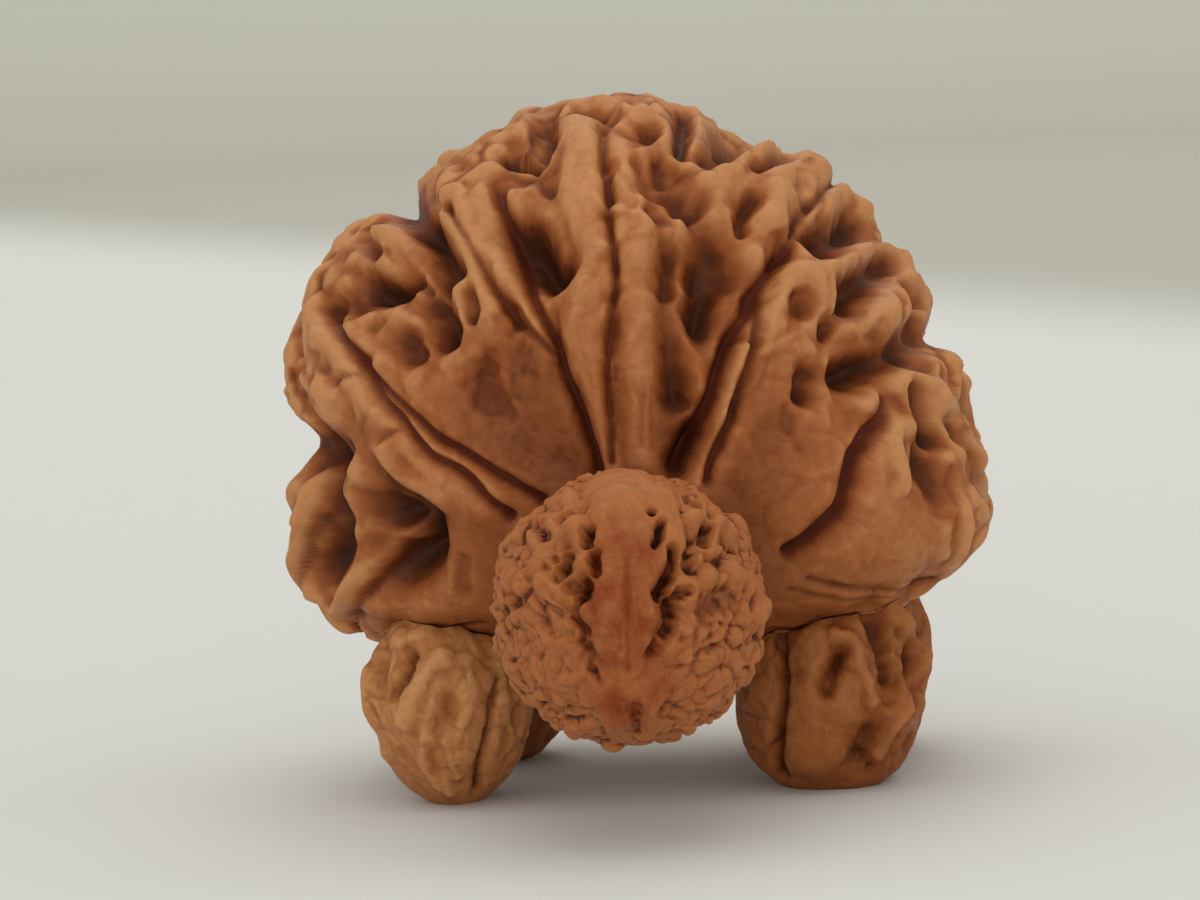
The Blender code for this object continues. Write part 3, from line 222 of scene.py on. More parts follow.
shellNut = {
    "piece": "shellWalnut",
    "node": "shell_nut",
    "slot": "shell_hull",
    "centre": (0.0, 0.0, 26.0),
    "halfWidth": (26.0, 26.0),
    "halfDepth": (19.0, 21.0),
    "halfHeight": (15.2, 25.8),
    "squareness": (2.7, 2.15),
    "bandEdge": 2.8,
    "panels": 126,
    "gather": 0.45,
    "wander": (0.10, 4.6),
    "smoothNear": (184, 28),
    "lobes": [
        (-106, 76, 8.0, 1.7),
        (-122, 86, 5.0, 2.2),
        (-95, 86, 3.4, -3.2),
        (-65, 90, 3.0, -1.0),
        (-72, 88, 6.0, 0.8),
        (-57, 88, 4.0, 0.7),
        (-46, 88, 2.6, 1.2),
        (-39, 88, 4.5, -1.9),
        (-12, 86, 8.0, -0.4),
        (0, 88, 4.5, 0.9),
        (17, 88, 5.0, -1.3),
        (20, 92, 3.0, -1.8),
        (21, 104, 3.6, -1.6),
        (43, 94, 3.6, -1.8),
        (52, 88, 10.0, -2.6),
        (62, 91, 3.6, -1.6),
        (77, 88, 6.0, -2.0),
        (83, 90, 3.4, -1.3),
        (94, 86, 4.0, -0.6),
        (104, 80, 8.0, 1.2),
        (180, 150, 6.0, 1.4),
    ],
    "bands": {
        "crown left": (1.75, 1.15, [
            (-6, 74), (-6, 62), (-6, 53), (-6, 46), (-6, 38), (-9, 31), (-12, 24)]),
        "crown left low": (0.9, 1, [(-11, 24), (-12, 16), (-17, 6), (-127, 1)]),
        "crown right": (1.35, 1.1, [(9, 48), (10, 43), (10, 36), (13, 29), (18, 21)]),
        "crown right low": (1.1, 0.9, [(18, 21), (28, 14), (73, 6)]),
        "strap": (1, 1, [(-26, 63), (-26, 57), (-26, 52), (-27, 45), (-26, 39), (-26, 34)]),
        "left plate": (1.2, 0.7, [(-83, 44), (-88, 41), (-92, 37)]),
        "left plate high": (1.1, 0.6, [(-74, 55), (-76, 51), (-78, 48)]),
    },
    "ridges": {
        "crown right high": (0.84, 0.9, [(2, 68), (3, 61), (4, 55)]),
        "crown right lip": (0.48, 0.4, [(16, 37), (22, 30), (31, 21)]),
        "crown cap": (1.1, 0.7, [(-5, 82), (-3, 82), (0, 80)]),
        "strap flange": (0.84, 1.1, [
            (-37, 64), (-35, 64), (-33, 60), (-33, 55), (-34, 51), (-36, 47), (-37, 43), (-42, 38)]),
        "temple knob": (1, 1.7, [(-45, 71), (-43, 68), (-42, 64), (-42, 60)]),
        "temple crest one": (0.96, 0.9, [
            (-58, 85), (-56, 83), (-53, 75), (-51, 68), (-49, 63), (-47, 60)]),
        "temple crest two": (0.72, 0.6, [(-59, 78), (-55, 73), (-52, 68)]),
        "temple crest three": (0.96, 1, [
            (-64, 63), (-63, 57), (-60, 57), (-56, 56), (-52, 54), (-48, 53), (-47, 51)]),
        "temple crest four": (1, 0.6, [(-50, 39), (-55, 40), (-60, 41), (-66, 42)]),
        "temple crest five": (1.08, 0.5, [(-41, 42), (-44, 38), (-49, 33)]),
        "temple crest six": (0.72, 0.8, [(-46, 51), (-42, 49), (-41, 46)]),
        "crown knob": (1, 1.4, [(-20, 61), (-18, 58), (-15, 55), (-14, 52), (-13, 48)]),
        "left brow": (0.84, 0.6, [(-62, 61), (-64, 55), (-66, 50), (-68, 45), (-71, 40), (-74, 35)]),
        "left flange": (1.6, 1.2, [
            (-65, 71), (-67, 65), (-70, 59), (-73, 53), (-76, 49), (-79, 44), (-86, 39), (-93, 33),
            (-102, 28)]),
        "flange edge": (1.08, 1.3, [
            (-75, 64), (-79, 60), (-84, 57), (-88, 55), (-92, 53), (-96, 50), (-100, 48)]),
        "flange lip": (1.08, 1.4, [(-84, 47), (-88, 46), (-92, 44), (-94, 41), (-97, 36)]),
        "edge knob one": (1, 1.5, [(-64, 77), (-65, 72), (-67, 69)]),
        "edge knob two": (1, 1.4, [(-75, 64), (-77, 61), (-79, 61)]),
        "temple rim": (0.96, 0.7, [(-61, 84), (-56, 84), (-51, 80), (-46, 75)]),
        "jowl crest": (0.9, 1.7, [
            (-98, 49), (-103, 48), (-108, 51), (-110, 56), (-113, 61), (-117, 71)]),
        "jowl edge": (0.9, 1.4, [(-94, 67), (-98, 70), (-103, 72), (-107, 77), (-112, 79)]),
        "jowl edge high": (0.84, 0.9, [(-92, 67), (-95, 69)]),
        "jowl face": (3, 0.6, [(-119, 56), (-123, 51), (-125, 43)]),
        "right strand": (0.72, 1.1, [
            (50, 37), (53, 34), (57, 30), (62, 27), (69, 24), (78, 21), (89, 18), (100, 17)]),
        "right flange": (1.2, 0.6, [(43, 51), (46, 47), (50, 42)]),
        "hollow brow": (0.84, 0.9, [(15, 50), (19, 51), (24, 51), (28, 51), (32, 53), (36, 53)]),
        "brow crest one": (0.84, 0.6, [
            (13, 58), (15, 61), (18, 62), (21, 62), (24, 62), (26, 65), (29, 65), (32, 64)]),
        "brow crest two": (0.96, 0.7, [(19, 60), (22, 58), (26, 55), (30, 54), (34, 53)]),
        "brow crest three": (0.84, 0.4, [(32, 61), (34, 60), (36, 58), (35, 54)]),
        "peak crest one": (0.72, 0.9, [(6, 66), (7, 63), (9, 60)]),
        "peak crest two": (0.72, 0.9, [(5, 78), (8, 76), (10, 71), (11, 67), (10, 64)]),
        "peak crest three": (1.08, 0.7, [(12, 99), (14, 101), (17, 72)]),
        "peak crest four": (0.6, 0.8, [(21, 65), (22, 69), (24, 73)]),
        "shoulder top": (1, 0.9, [(27, 79), (29, 97), (32, 99), (34, 103), (36, 104)]),
        "shoulder crest one": (0.72, 0.7, [(33, 74), (34, 69), (33, 65)]),
        "shoulder crest two": (0.84, 1.1, [
            (36, 99), (39, 99), (42, 78), (45, 77), (47, 73), (50, 75), (52, 78)]),
        "shoulder knob": (0.96, 1.3, [(46, 54), (49, 55), (52, 55), (55, 53), (57, 50)]),
        "shoulder crest three": (0.72, 1, [(50, 57), (50, 61), (51, 65), (52, 71)]),
        "shoulder crest four": (1.08, 0.9, [(59, 98), (59, 73), (61, 65), (62, 60), (63, 56)]),
        "shoulder crest five": (0.96, 0.9, [(58, 106), (61, 102), (65, 102), (68, 101), (71, 99)]),
        "shoulder crest six": (0.96, 0.9, [(62, 69), (66, 67), (70, 66), (74, 65), (77, 61)]),
        "shoulder crest seven": (0.72, 0.9, [(59, 46), (64, 46), (69, 45), (74, 44)]),
        "shoulder crest eight": (0.72, 0.8, [(66, 49), (66, 52), (67, 57), (68, 61), (71, 65)]),
        "shoulder crest nine": (0.84, 0.8, [(48, 106), (51, 106), (54, 106), (56, 101)]),
        "cheek brow": (0.6, 0.6, [(52, 37), (54, 40), (56, 43), (60, 44)]),
        "cheek face": (3, 0.5, [(82, 39), (93, 36), (105, 35)]),
        "jaw crest": (1, 1.6, [(78, 52), (78, 55), (81, 55), (85, 55), (89, 54), (93, 54), (97, 55)]),
        "jaw ridge": (1, 0.6, [(83, 52), (88, 52), (93, 52)]),
        "jaw crest outer": (1, 1.5, [
            (77, 63), (82, 64), (86, 64), (90, 66), (94, 67), (99, 68), (104, 69), (109, 70)]),
        "jaw knob": (1.08, 1, [(78, 66), (80, 69), (83, 68)]),
        "jaw edge": (0.72, 0.8, [(84, 66), (88, 68), (91, 71), (95, 94)]),
        "jaw rim": (1.08, 0.8, [(84, 104), (87, 103), (91, 101), (94, 99)]),
        "jaw face": (4.2, 1.1, [(105, 52), (108, 57)]),
        "jaw hump": (1.2, 0.5, [(98, 54), (100, 55)]),
        "nape strand": (0.96, 0.9, [(25, 36), (32, 31), (40, 28), (49, 26)]),
        "hollow strand": (0.96, 0.8, [(19, 50), (21, 45), (23, 39)]),
        "nape ridge": (0.72, 0.7, [(35, 45), (39, 39), (44, 34)]),
    },
    "grooves": {
        "crown seam": (0.28, 0.9, [
            (-2, 74), (-1.5, 64), (-0.5, 57.5), (0, 52), (1.5, 45.5), (2.5, 39.5), (1.5, 31.5),
            (-0.5, 24.5), (-2.5, 17), (-2, 9.5), (-19.5, 1.5)]),
        "crown seam twin": (0.2, 0.35, [(3.5, 39.5), (4, 33), (2.5, 26), (2.5, 19)]),
        "cap crease": (0.28, 0.5, [(-7.5, 82), (-4.5, 78.5), (-1.5, 79), (0.5, 81.5), (1, 90)]),
        "strap seam": (0.32, 0.9, [
            (-33, 65), (-32.5, 58.5), (-32.5, 53), (-33, 47.5), (-33, 42.5), (-32, 38.5),
            (-29.5, 33.5), (-26, 29)]),
        "crown crevice": (0.42, 1.6, [
            (-23, 65), (-23.5, 58), (-24, 53), (-24.5, 46.5), (-24.5, 40.5), (-24, 36),
            (-23.5, 31.5), (-24.5, 26.5), (-26.5, 20.5), (-28.5, 15.5), (-34.5, 10.5),
            (-53.5, 5.5), (-124.5, 4)]),
        "left seam lower": (0.38, 1.4, [
            (-63, 75.5), (-65, 65.5), (-66.5, 60), (-69, 55), (-73, 50), (-76, 45.5),
            (-80.5, 41.5), (-85, 38), (-88.5, 34), (-93.5, 30.5), (-101, 28), (-112, 25.5)]),
        "left seam upper": (0.34, 1.3, [
            (-66.5, 59.5), (-68.5, 55), (-71, 50), (-73, 46), (-75.5, 42), (-79.5, 38),
            (-82.5, 33.5), (-86.5, 30), (-92.5, 26), (-100, 22.5), (-112.5, 19)]),
        "right crevice": (0.55, 1.9, [
            (40, 58), (40.5, 53), (41, 49), (43, 45), (44, 40.5), (45.5, 37), (49, 32.5),
            (53.5, 29), (59, 25.5), (67, 21), (78.5, 17), (94.5, 14)]),
        "right seam": (0.32, 1.1, [
            (39.5, 106.5), (39, 72), (38.5, 66), (39.5, 61.5), (41, 58), (40.5, 54.5), (41, 51),
            (43, 47), (46.5, 43), (50.5, 40), (53.5, 37), (58, 33.5), (63.5, 30), (71, 27),
            (79.5, 24), (89, 21.5), (101, 20.5)]),
        "cheek crevice": (0.6, 2.1, [
            (79.5, 56.5), (83.5, 54), (85.5, 51.5), (88.5, 49.5), (92, 48), (96, 47), (100, 46),
            (104, 45.5), (108.5, 44), (113.5, 42.5), (118.5, 41)]),
        "cheek arc": (0.25, 0.3, [(73, 38), (79, 37), (83, 37.5), (87, 38.5)]),
        "jowl crease": (0.35, 0.8, [
            (-110, 52.5), (-113.5, 58), (-117, 65), (-120.5, 77), (-123.5, 83)]),
        "jowl edge crease": (0.4, 0.9, [
            (-100, 69), (-104.5, 73), (-109.5, 78), (-113.5, 80), (-116.5, 81.5)]),
        "jaw crease": (0.3, 0.5, [(94.5, 68), (98.5, 67.5), (102.5, 67.5), (107, 68), (111.5, 69.5)]),
        "plate edge one": (0.28, 0.5, [(-82.5, 48), (-80.5, 46.5), (-79, 44.5), (-79.5, 42.5)]),
        "plate edge two": (0.28, 0.5, [
            (-73.5, 61), (-71.5, 59.5), (-70, 56.5), (-69, 53.5), (-70.5, 50)]),
        "belly line left": (0.3, 0.6, [
            (-119, 78.5), (-123, 78), (-126.5, 75), (-130.5, 67), (-134, 55.5), (-137.5, 50)]),
        "belly line right": (0.3, 0.6, [
            (115.5, 73), (117.5, 68), (119, 63.5), (120.5, 58), (122, 52), (123.5, 46.5)]),
        "belly line low": (0.25, 0.4, [(119.5, 68.5), (122, 63), (124.5, 58), (127, 51), (129, 45.5)]),
        "nape line one": (0.25, 0.25, [(25, 16.5), (34, 12), (53, 8)]),
        "nape line two": (0.25, 0.25, [(33, 16), (44, 12.5), (65.5, 9.5)]),
    },
    "pits": {
        "strap hollow": (1.35, 4.14, [(-40, 69), (-40, 64), (-41, 59), (-41, 56)]),
        "temple pit one": (1, 3.22, [(-55, 70), (-53, 65), (-49, 62)]),
        "temple pit two": (0.5, 2.18, [(-47, 61), (-47, 58)]),
        "temple pit three": (1.2, 2.99, [(-48, 54), (-49, 51), (-52, 48)]),
        "temple pit four": (0.6, 1.26, [(-40, 47), (-42, 44)]),
        "temple pit five": (1, 1.49, [(-59, 54), (-61, 50)]),
        "temple pit six": (1.2, 1.15, [(-62, 73), (-58, 68)]),
        "temple pit seven": (0.8, 0.92, [(-57, 86), (-54, 80)]),
        "temple pit eight": (0.7, 1.15, [(-50, 81), (-50, 73)]),
        "crown hollow": (1.6, 3.56, [(-21, 54), (-19, 50), (-16, 45)]),
        "crown pit": (0.6, 2.53, [(-20, 73), (-17, 71), (-14, 69)]),
        "crown pit high": (0.8, 1.49, [(-13, 81), (-12, 73)]),
        "crown pit back": (0.8, 0.69, [(-18, 76)]),
        "crown pit left": (0.6, 0.8, [(-37, 100)]),
        "crown pit side": (0.6, 0.69, [(-29, 75)]),
        "peak pit one": (0.7, 1.95, [(17, 73), (19, 72)]),
        "peak pit two": (0.7, 1.72, [(10, 99), (12, 77), (13, 69)]),
        "peak pit three": (0.8, 1.15, [(7, 75)]),
        "peak pit four": (0.9, 1.38, [(10, 64), (9, 60), (11, 59)]),
        "peak pit five": (1, 1.84, [(14, 59), (16, 57), (19, 58)]),
        "great hollow": (2, 3.1, [(25, 47), (28, 50), (30, 44), (31, 40)]),
        "great hollow side": (1.1, 2.3, [(16, 47), (17, 43), (19, 40)]),
        "brow slot": (0.7, 1.84, [(29, 64), (29, 59), (30, 57)]),
        "brow hollow": (0.8, 1.72, [(27, 72), (29, 78), (30, 98)]),
        "shoulder pit one": (1.3, 2.76, [(45, 67), (46, 74), (48, 101)]),
        "shoulder pit two": (0.75, 1.26, [(49, 104), (51, 106)]),
        "shoulder pit three": (1.15, 2.53, [(57, 101), (57, 74), (57, 66), (58, 62)]),
        "shoulder pit four": (1, 2.18, [(64, 98), (67, 101)]),
        "shoulder pit five": (0.8, 1.26, [(59, 52)]),
        "shoulder pit six": (0.9, 0.92, [(52, 51)]),
        "long hollow": (1.5, 2.99, [(72, 53), (71, 57), (71, 63), (73, 71)]),
        "short hollow": (0.8, 2.18, [(67, 45), (72, 43)]),
        "cheek slot": (0.75, 2.99, [(79, 64), (83, 64), (87, 64), (90, 66)]),
        "nape slot": (1.1, 1.61, [(20, 40), (24, 34), (31, 28), (42, 21)]),
        "nape deep": (1.1, 1.61, [(72, 20), (89, 15)]),
        "edge slot": (0.8, 1.26, [(89, 72), (93, 77)]),
        "edge pit": (0.4, 0.69, [(96, 68)]),
        "edge panel": (1.6, 1.72, [(88, 100), (92, 101)]),
        "jaw valley": (1.5, 1.61, [(93, 63), (97, 66)]),
        "jowl hollow": (2.2, 4.6, [(-101, 49), (-106, 47), (-111, 48), (-113, 53)]),
        "jowl hollow outer": (1.9, 3.45, [(-98, 65), (-103, 65), (-108, 71)]),
        "under flange": (1.5, 4.48, [(-87, 69), (-91, 65), (-96, 65)]),
        "edge notch one": (0.6, 1.49, [(-70, 79), (-72, 76), (-75, 77)]),
        "edge notch two": (1.2, 2.53, [(-84, 80), (-87, 73), (-90, 71)]),
        "jowl side hollow": (0.7, 0.69, [(-120, 38), (-127, 42)]),
        "waist left": (1.6, 2.2, [(-86, 58), (-87, 66), (-88, 88), (-94, 112), (-120, 138)]),
        "waist right": (1.3, 2.0, [(71, 66), (71, 80), (72, 98), (80, 118), (115, 138)]),
        "top valley left": (1.4, 2.0, [(-40, 72), (-42, 86), (-46, 104), (-58, 124), (-110, 148)]),
        "top valley right": (1.6, 2.8, [(19, 72), (20, 84), (24, 102), (38, 122), (90, 146)]),
        "top valley middle": (1.2, 1.4, [(-8, 92), (-10, 108), (-14, 126), (-60, 152)]),
        "flank left": (1.2, 1.3, [(-64, 96), (-70, 114), (-92, 134)]),
        "flank right": (1.2, 1.3, [(50, 94), (56, 112), (86, 134)]),
        "low flank left": (1.3, 1.4, [(-118, 98), (-130, 118), (-150, 138)]),
        "low flank right": (1.3, 1.4, [(112, 98), (126, 118), (148, 138)]),
    },
    "dips": {
        "left panel": (3.8, 1.6, [(-48, 33), (-60, 23), (-88, 13)]),
        "nape valley": (2.3, 1.5, [(25, 50), (34, 39), (43, 28), (66, 18)]),
        "temple valley": (3.2, 1.2, [(-56, 73), (-52, 59), (-50, 48)]),
        "shoulder valley": (3, 1, [(46, 68), (56, 67), (61, 54)]),
        "peak valley": (2.6, 1, [(9, 72), (13, 63), (18, 57)]),
        "crown valley": (2, 1.2, [(-17, 72), (-17, 60), (-19, 48)]),
        "edge valley wide": (2.6, 0.8, [(92, 65), (99, 62)]),
        "cheek valley": (2.4, 1, [(79, 35), (97, 30), (115, 30)]),
        "jowl valley": (3.6, 1.4, [(-103, 64), (-107, 49)]),
    },
    "net": {"cells": 430, "seed": 11, "stretch": 0.7, "wall": 0.82, "low": 0.1, "high": 1.2,
            "from": 30.0, "to": 85.0, "uneven": 0.9, "calm": 0.75},
    "hollowRounds": (8, 400),
    "look": {
        "Crest": (190, 132, 84), "Middle": (158, 92, 48), "Hollow": (116, 58, 27),
        "Deep": (68, 33, 16), "Seam": (92, 36, 20), "Stain": (140, 80, 44), "Wide Reach": 1.6,
        # the stem-end darkening set here is painted shade, with some darker wax
        "Tight Reach": 0.30, "Fine Reach": 0.06, "Carved Reach": 4.5, "Stem Shade And Wax": 0.55,
        "Wax Stain": 0.0, "Line Count": 90.0, "Line Tone": 0.015, "Grain": 0.25,
    },
    "fine": {
        "Knob Size": 0.0024, "Knob Depth": 0.00026, "Wrinkle Size": 0.0016, "Wrinkle Depth": 0.00016,
        "Calm": 0.25,
    },
}

headNut = {
    "piece": "headWalnut",
    "node": "head_nut",
    "slot": "head_hull",
    "centre": (1.5, -27.5, 16.8),
    "halfWidth": (9.8, 9.9),
    "halfDepth": (9.7, 9.7),
    "halfHeight": (9.8, 9.7),
    "squareness": (2.0, 2.0),
    "bandEdge": 5.0,
    "panels": 126,
    "gather": 0.5,
    "wander": (0.06, 1.5),
    "smoothNear": (171, 29),
    "lobes": [
        (4, 60, 3.0, 0.3),
        (174, 34, 3.0, 0.5),
    ],
    "bands": {
        "hood": (3.1, 1, [(1, 63.5), (9, 57)]),
        "hood side": (1, 1.1, [(21.5, 59), (28.5, 49), (35.5, 42.5), (38.5, 34.5)]),
        "band high": (2.2, 1.3, [(2, 50), (4.5, 33)]),
        "band middle": (2.05, 1.3, [(9, 30), (12, 20), (19, 10)]),
        "band low": (1.95, 1.3, [(17, 8), (149.5, 4.5)]),
        "band foot": (1.3, 1, [(158.5, 6.5), (167, 15.5)]),
        "band tooth one": (0.85, 1.3, [(17.5, 38)]),
        "band tooth two": (1.4, 1.3, [(25.5, 23.5)]),
        "band tooth three": (1.3, 1.3, [(68, 10.5)]),
        "band tooth left": (1, 1.3, [(-58, 4.5)]),
        "band tooth left high": (0.8, 1.3, [(-7, 45)]),
    },
    "ridges": {
        "nose patch": (1.5, 0.84, [(176, 20.5), (166.5, 25)]),
        "left finger high": (0.95, 1.8, [(-22.5, 44.5), (-20.5, 39.5), (-19, 35)]),
        "left finger low": (0.8, 1.68, [(-24, 28), (-21, 24)]),
        "left finger last": (0.7, 1.44, [(-55.5, 13), (-62.5, 9.5)]),
        "left knob high": (0.9, 1.08, [(-21.5, 65.5), (-21.5, 58.5)]),
        "left bead one": (0.4, 0.72, [(-19, 52.5)]),
        "left bead two": (0.4, 0.72, [(-14.5, 54.5)]),
        "left crest one": (0.5, 0.96, [(-34, 59), (-27, 55), (-21, 54)]),
        "left crest two": (0.6, 1.08, [(-33.5, 54), (-32.5, 46), (-32.5, 41)]),
        "left crest three": (0.6, 0.96, [(-46.5, 47), (-43.5, 40), (-35.5, 37.5)]),
        "left crest four": (0.6, 0.84, [(-57.5, 38.5), (-57, 30), (-47, 26)]),
        "right lobe one": (0.8, 1.44, [(33.5, 67.5), (37.5, 62), (37.5, 56)]),
        "right knob one": (0.5, 1.08, [(41.5, 68)]),
        "right knob two": (0.7, 0.84, [(53.5, 71.5)]),
        "right worm one": (0.65, 1.08, [(52, 52), (48, 59), (47.5, 67.5)]),
        "right knob three": (0.55, 1.32, [(53, 43)]),
        "right knob four": (0.8, 0.96, [(65, 44.5)]),
        "right knob five": (0.8, 0.96, [(62.5, 35)]),
        "right knob low": (0.9, 0.96, [(113.5, 21.5)]),
        "right edge lobe": (0.9, 0.84, [(82.5, 71.5), (90.5, 73.5)]),
        "right knob six": (0.8, 0.72, [(67.5, 59), (73.5, 60)]),
        "left bead three": (0.4, 0.84, [(-31, 37)]),
        "left bead four": (0.45, 0.96, [(-55.5, 20)]),
        "left bead five": (0.5, 0.84, [(-59.5, 25.5)]),
        "left bead six": (0.45, 0.84, [(-101.5, 15)]),
        "left bead seven": (0.5, 0.72, [(-84, 19.5)]),
        "right bead one": (0.4, 0.96, [(43.5, 39)]),
        "right bead two": (0.4, 1.08, [(57, 27)]),
        "right bead three": (0.45, 0.96, [(73, 27.5)]),
        "right bead four": (0.45, 0.96, [(93, 24.5)]),
        "right bead five": (0.5, 0.84, [(96.5, 29)]),
        "right bead six": (0.4, 0.84, [(42.5, 60.5)]),
        "nose left": (0.7, 0.84, [(-165, 25), (-169, 34.5), (-173.5, 44.5)]),
        "nose middle": (0.4, 0.6, [(179, 32), (176.5, 44)]),
        "nose right": (0.6, 0.84, [(160.5, 32), (162, 42), (167, 52)]),
        "left ring": (0.45, 0.8, [(-42, 68.5), (-45.5, 59), (-45.5, 49.5), (-38.5, 45)]),
        "left knob one": (0.5, 0.8, [(-46.5, 35.5)]),
        "left knob two": (0.45, 0.7, [(-53, 42)]),
        "left knob three": (0.45, 0.8, [(-123, 9)]),
        "left knob four": (0.45, 0.7, [(-120, 17)]),
        "left knob five": (0.4, 0.7, [(-14, 42)]),
        "right knob seven": (0.5, 0.8, [(56.5, 56.5)]),
        "right knob eight": (0.45, 0.8, [(70, 51.5)]),
        "right knob nine": (0.5, 0.7, [(117.5, 32.5)]),
        "right knob ten": (0.5, 0.8, [(29.5, 53)]),
    },
    "grooves": {
        "left edge line": (0.24, 0.6, [
            (-55.5, 17.5), (-73.5, 17), (-90, 12.5), (-112, 15), (-136.5, 14.5), (-144.5, 20),
            (-159, 23.5)]),
        "centre line": (0.2, 0.35, [(12, 26.5), (25, 12), (96, 4.5), (152.5, 10), (166, 17)]),
        "centre line twin": (0.16, 0.25, [(57.5, 3), (162.5, 8)]),
        "band line left": (0.2, 0.2, [(-0.5, 42), (1, 25.5), (-1.5, 14.5)]),
        "nose crease": (0.24, 0.4, [(171, 34), (174, 44), (175.5, 58.5)]),
        "low crease one": (0.22, 0.4, [(-134.5, 62), (-147, 50.5), (-161.5, 39.5)]),
        "low crease two": (0.22, 0.4, [(-141, 67.5), (-152, 57.5), (-164, 45)]),
        "low crease three": (0.22, 0.4, [(153.5, 42.5), (146, 58.5), (136, 71.5)]),
        "right crease one": (0.22, 0.35, [(104.5, 38.5), (97.5, 46), (89.5, 51.5), (81.5, 52.5)]),
        "right crease two": (0.22, 0.35, [(110.5, 43), (102.5, 50.5), (93, 56), (81.5, 57.5)]),
        "right crease three": (0.22, 0.35, [(70.5, 89), (79, 73.5), (89.5, 68)]),
        "back line": (0.4, 0.6, [(2, 96), (0, 120), (0, 150)]),
    },
    "slots": {
        "hood hole": (0.26, 1.01, [(18.5, 48.5)]),
        "hood slot": (0.26, 1.25, [(25.5, 46.5), (27.5, 40), (26.5, 36.5)]),
        "left gap high": (0.33, 1.56, [(-15, 40), (-18, 34)]),
        "left gap middle": (0.31, 1.56, [(-13.5, 29), (-18, 23)]),
        "left gap low": (0.4, 1.64, [(-31.5, 21), (-49, 18.5)]),
        "left gap wide": (0.4, 1.01, [(-47, 25.5), (-40.5, 20.5)]),
        "left gap side": (0.4, 1.1, [(-33.5, 35), (-43, 32.5)]),
        "left gap small": (0.35, 0.78, [(-41.5, 38.5)]),
        "left eye": (0.37, 1.17, [(-42.5, 71), (-42.5, 62)]),
        "right slot high": (0.37, 1.25, [(29, 76), (32.5, 66), (36.5, 63)]),
        "right slot middle": (0.37, 1.25, [(45.5, 59.5), (50, 52)]),
        "right slot low": (0.32, 1.09, [(49, 43), (54, 39.5)]),
        "right gap": (0.37, 1.64, [(39, 38.5), (45.5, 33), (51, 26), (54, 21)]),
        "right gap low": (0.45, 1.5, [(68.5, 24), (85.5, 23.5), (103, 20)]),
        "right gap side": (0.35, 0.86, [(66.5, 27.5), (66, 33)]),
        "right gap foot": (0.4, 1, [(114.5, 18), (129.5, 17)]),
        "right eye": (0.35, 0.86, [(103, 70)]),
    },
    "pits": {
        "left pit one": (0.6, 0.9, [(-79, 53.5)]),
        "left pit two": (0.6, 0.9, [(-91.5, 83), (-94, 77)]),
        "left pit four": (0.7, 0.6, [(-86, 35)]),
        "left pit five": (0.5, 0.7, [(-32, 39.5)]),
        "right hollow": (0.9, 1.2, [(84.5, 41.5), (82, 48)]),
        "right pit one": (0.5, 0.9, [(46, 98)]),
        "right pit two": (0.5, 0.8, [(62.5, 68.5)]),
        "right pit three": (0.6, 0.8, [(85.5, 70.5)]),
        "low pit left": (0.5, 0.9, [(-165.5, 75.5)]),
        "low pit right": (0.5, 0.9, [(160.5, 68)]),
        "low notch": (0.5, 0.8, [(158, 44.5)]),
        "saddle": (1.6, 0.6, [(3, 92)]),
    },
    "stains": {
        "lower band": (2.4, 1.0, [(8, 24), (18, 11), (149, 5)]),
        "stem end": (2.2, 0.6, [(149, 5), (166, 17), (170, 28), (173, 40)]),
        "beside the stem": (1.4, 0.7, [(-168, 30), (176, 33), (155, 32)]),
    },
    "net": {"cells": 420, "seed": 4, "stretch": 0.85, "wall": 0.22, "low": -0.20, "high": -0.28,
            "from": 10.0, "to": 60.0, "uneven": 0.5, "calm": 1.0},
    "hollowRounds": (8, 160),
    "look": {
        "Crest": (168, 105, 59), "Middle": (164, 97, 53), "Hollow": (110, 57, 30),
        "Deep": (50, 24, 12), "Seam": (84, 36, 19), "Stain": (134, 56, 20), "Wide Reach": 0.8,
        "Tight Reach": 0.13, "Fine Reach": 0.03, "Carved Reach": 2.4, "Stem Shade And Wax": 0.0,
        "Wax Stain": 1.1, "Line Count": 170.0, "Line Tone": 0.06, "Grain": 0.22,
    },
    "fine": {
        "Knob Size": 0.0014, "Knob Depth": 0.00020, "Wrinkle Size": 0.0012, "Wrinkle Depth": 0.00012,
        "Calm": 0.7,
    },
}

# What the four legs have in common
legNet = {
    "cells": 90, "stretch": 0.6, "wall": 0.6, "low": 0.15, "high": 0.45, "from": 20.0, "to": 80.0,
    "uneven": 0.3, "calm": 0.85,
}
legLook = {
    "Crest": (166, 104, 58), "Middle": (142, 80, 39), "Hollow": (102, 50, 22),
    "Deep": (58, 28, 14), "Seam": (76, 33, 17), "Stain": (128, 70, 36), "Wide Reach": 1.0,
    # the stem-end darkening set here is painted shade, with some darker wax
    "Tight Reach": 0.25, "Fine Reach": 0.05, "Carved Reach": 2.4, "Stem Shade And Wax": 0.25,
    "Wax Stain": 0.0, "Line Count": 120.0, "Line Tone": 0.03, "Grain": 0.3,
}
legFine = {
    "Knob Size": 0.0017, "Knob Depth": 0.00018, "Wrinkle Size": 0.0012, "Wrinkle Depth": 0.00016,
    "Calm": 0.4,
}

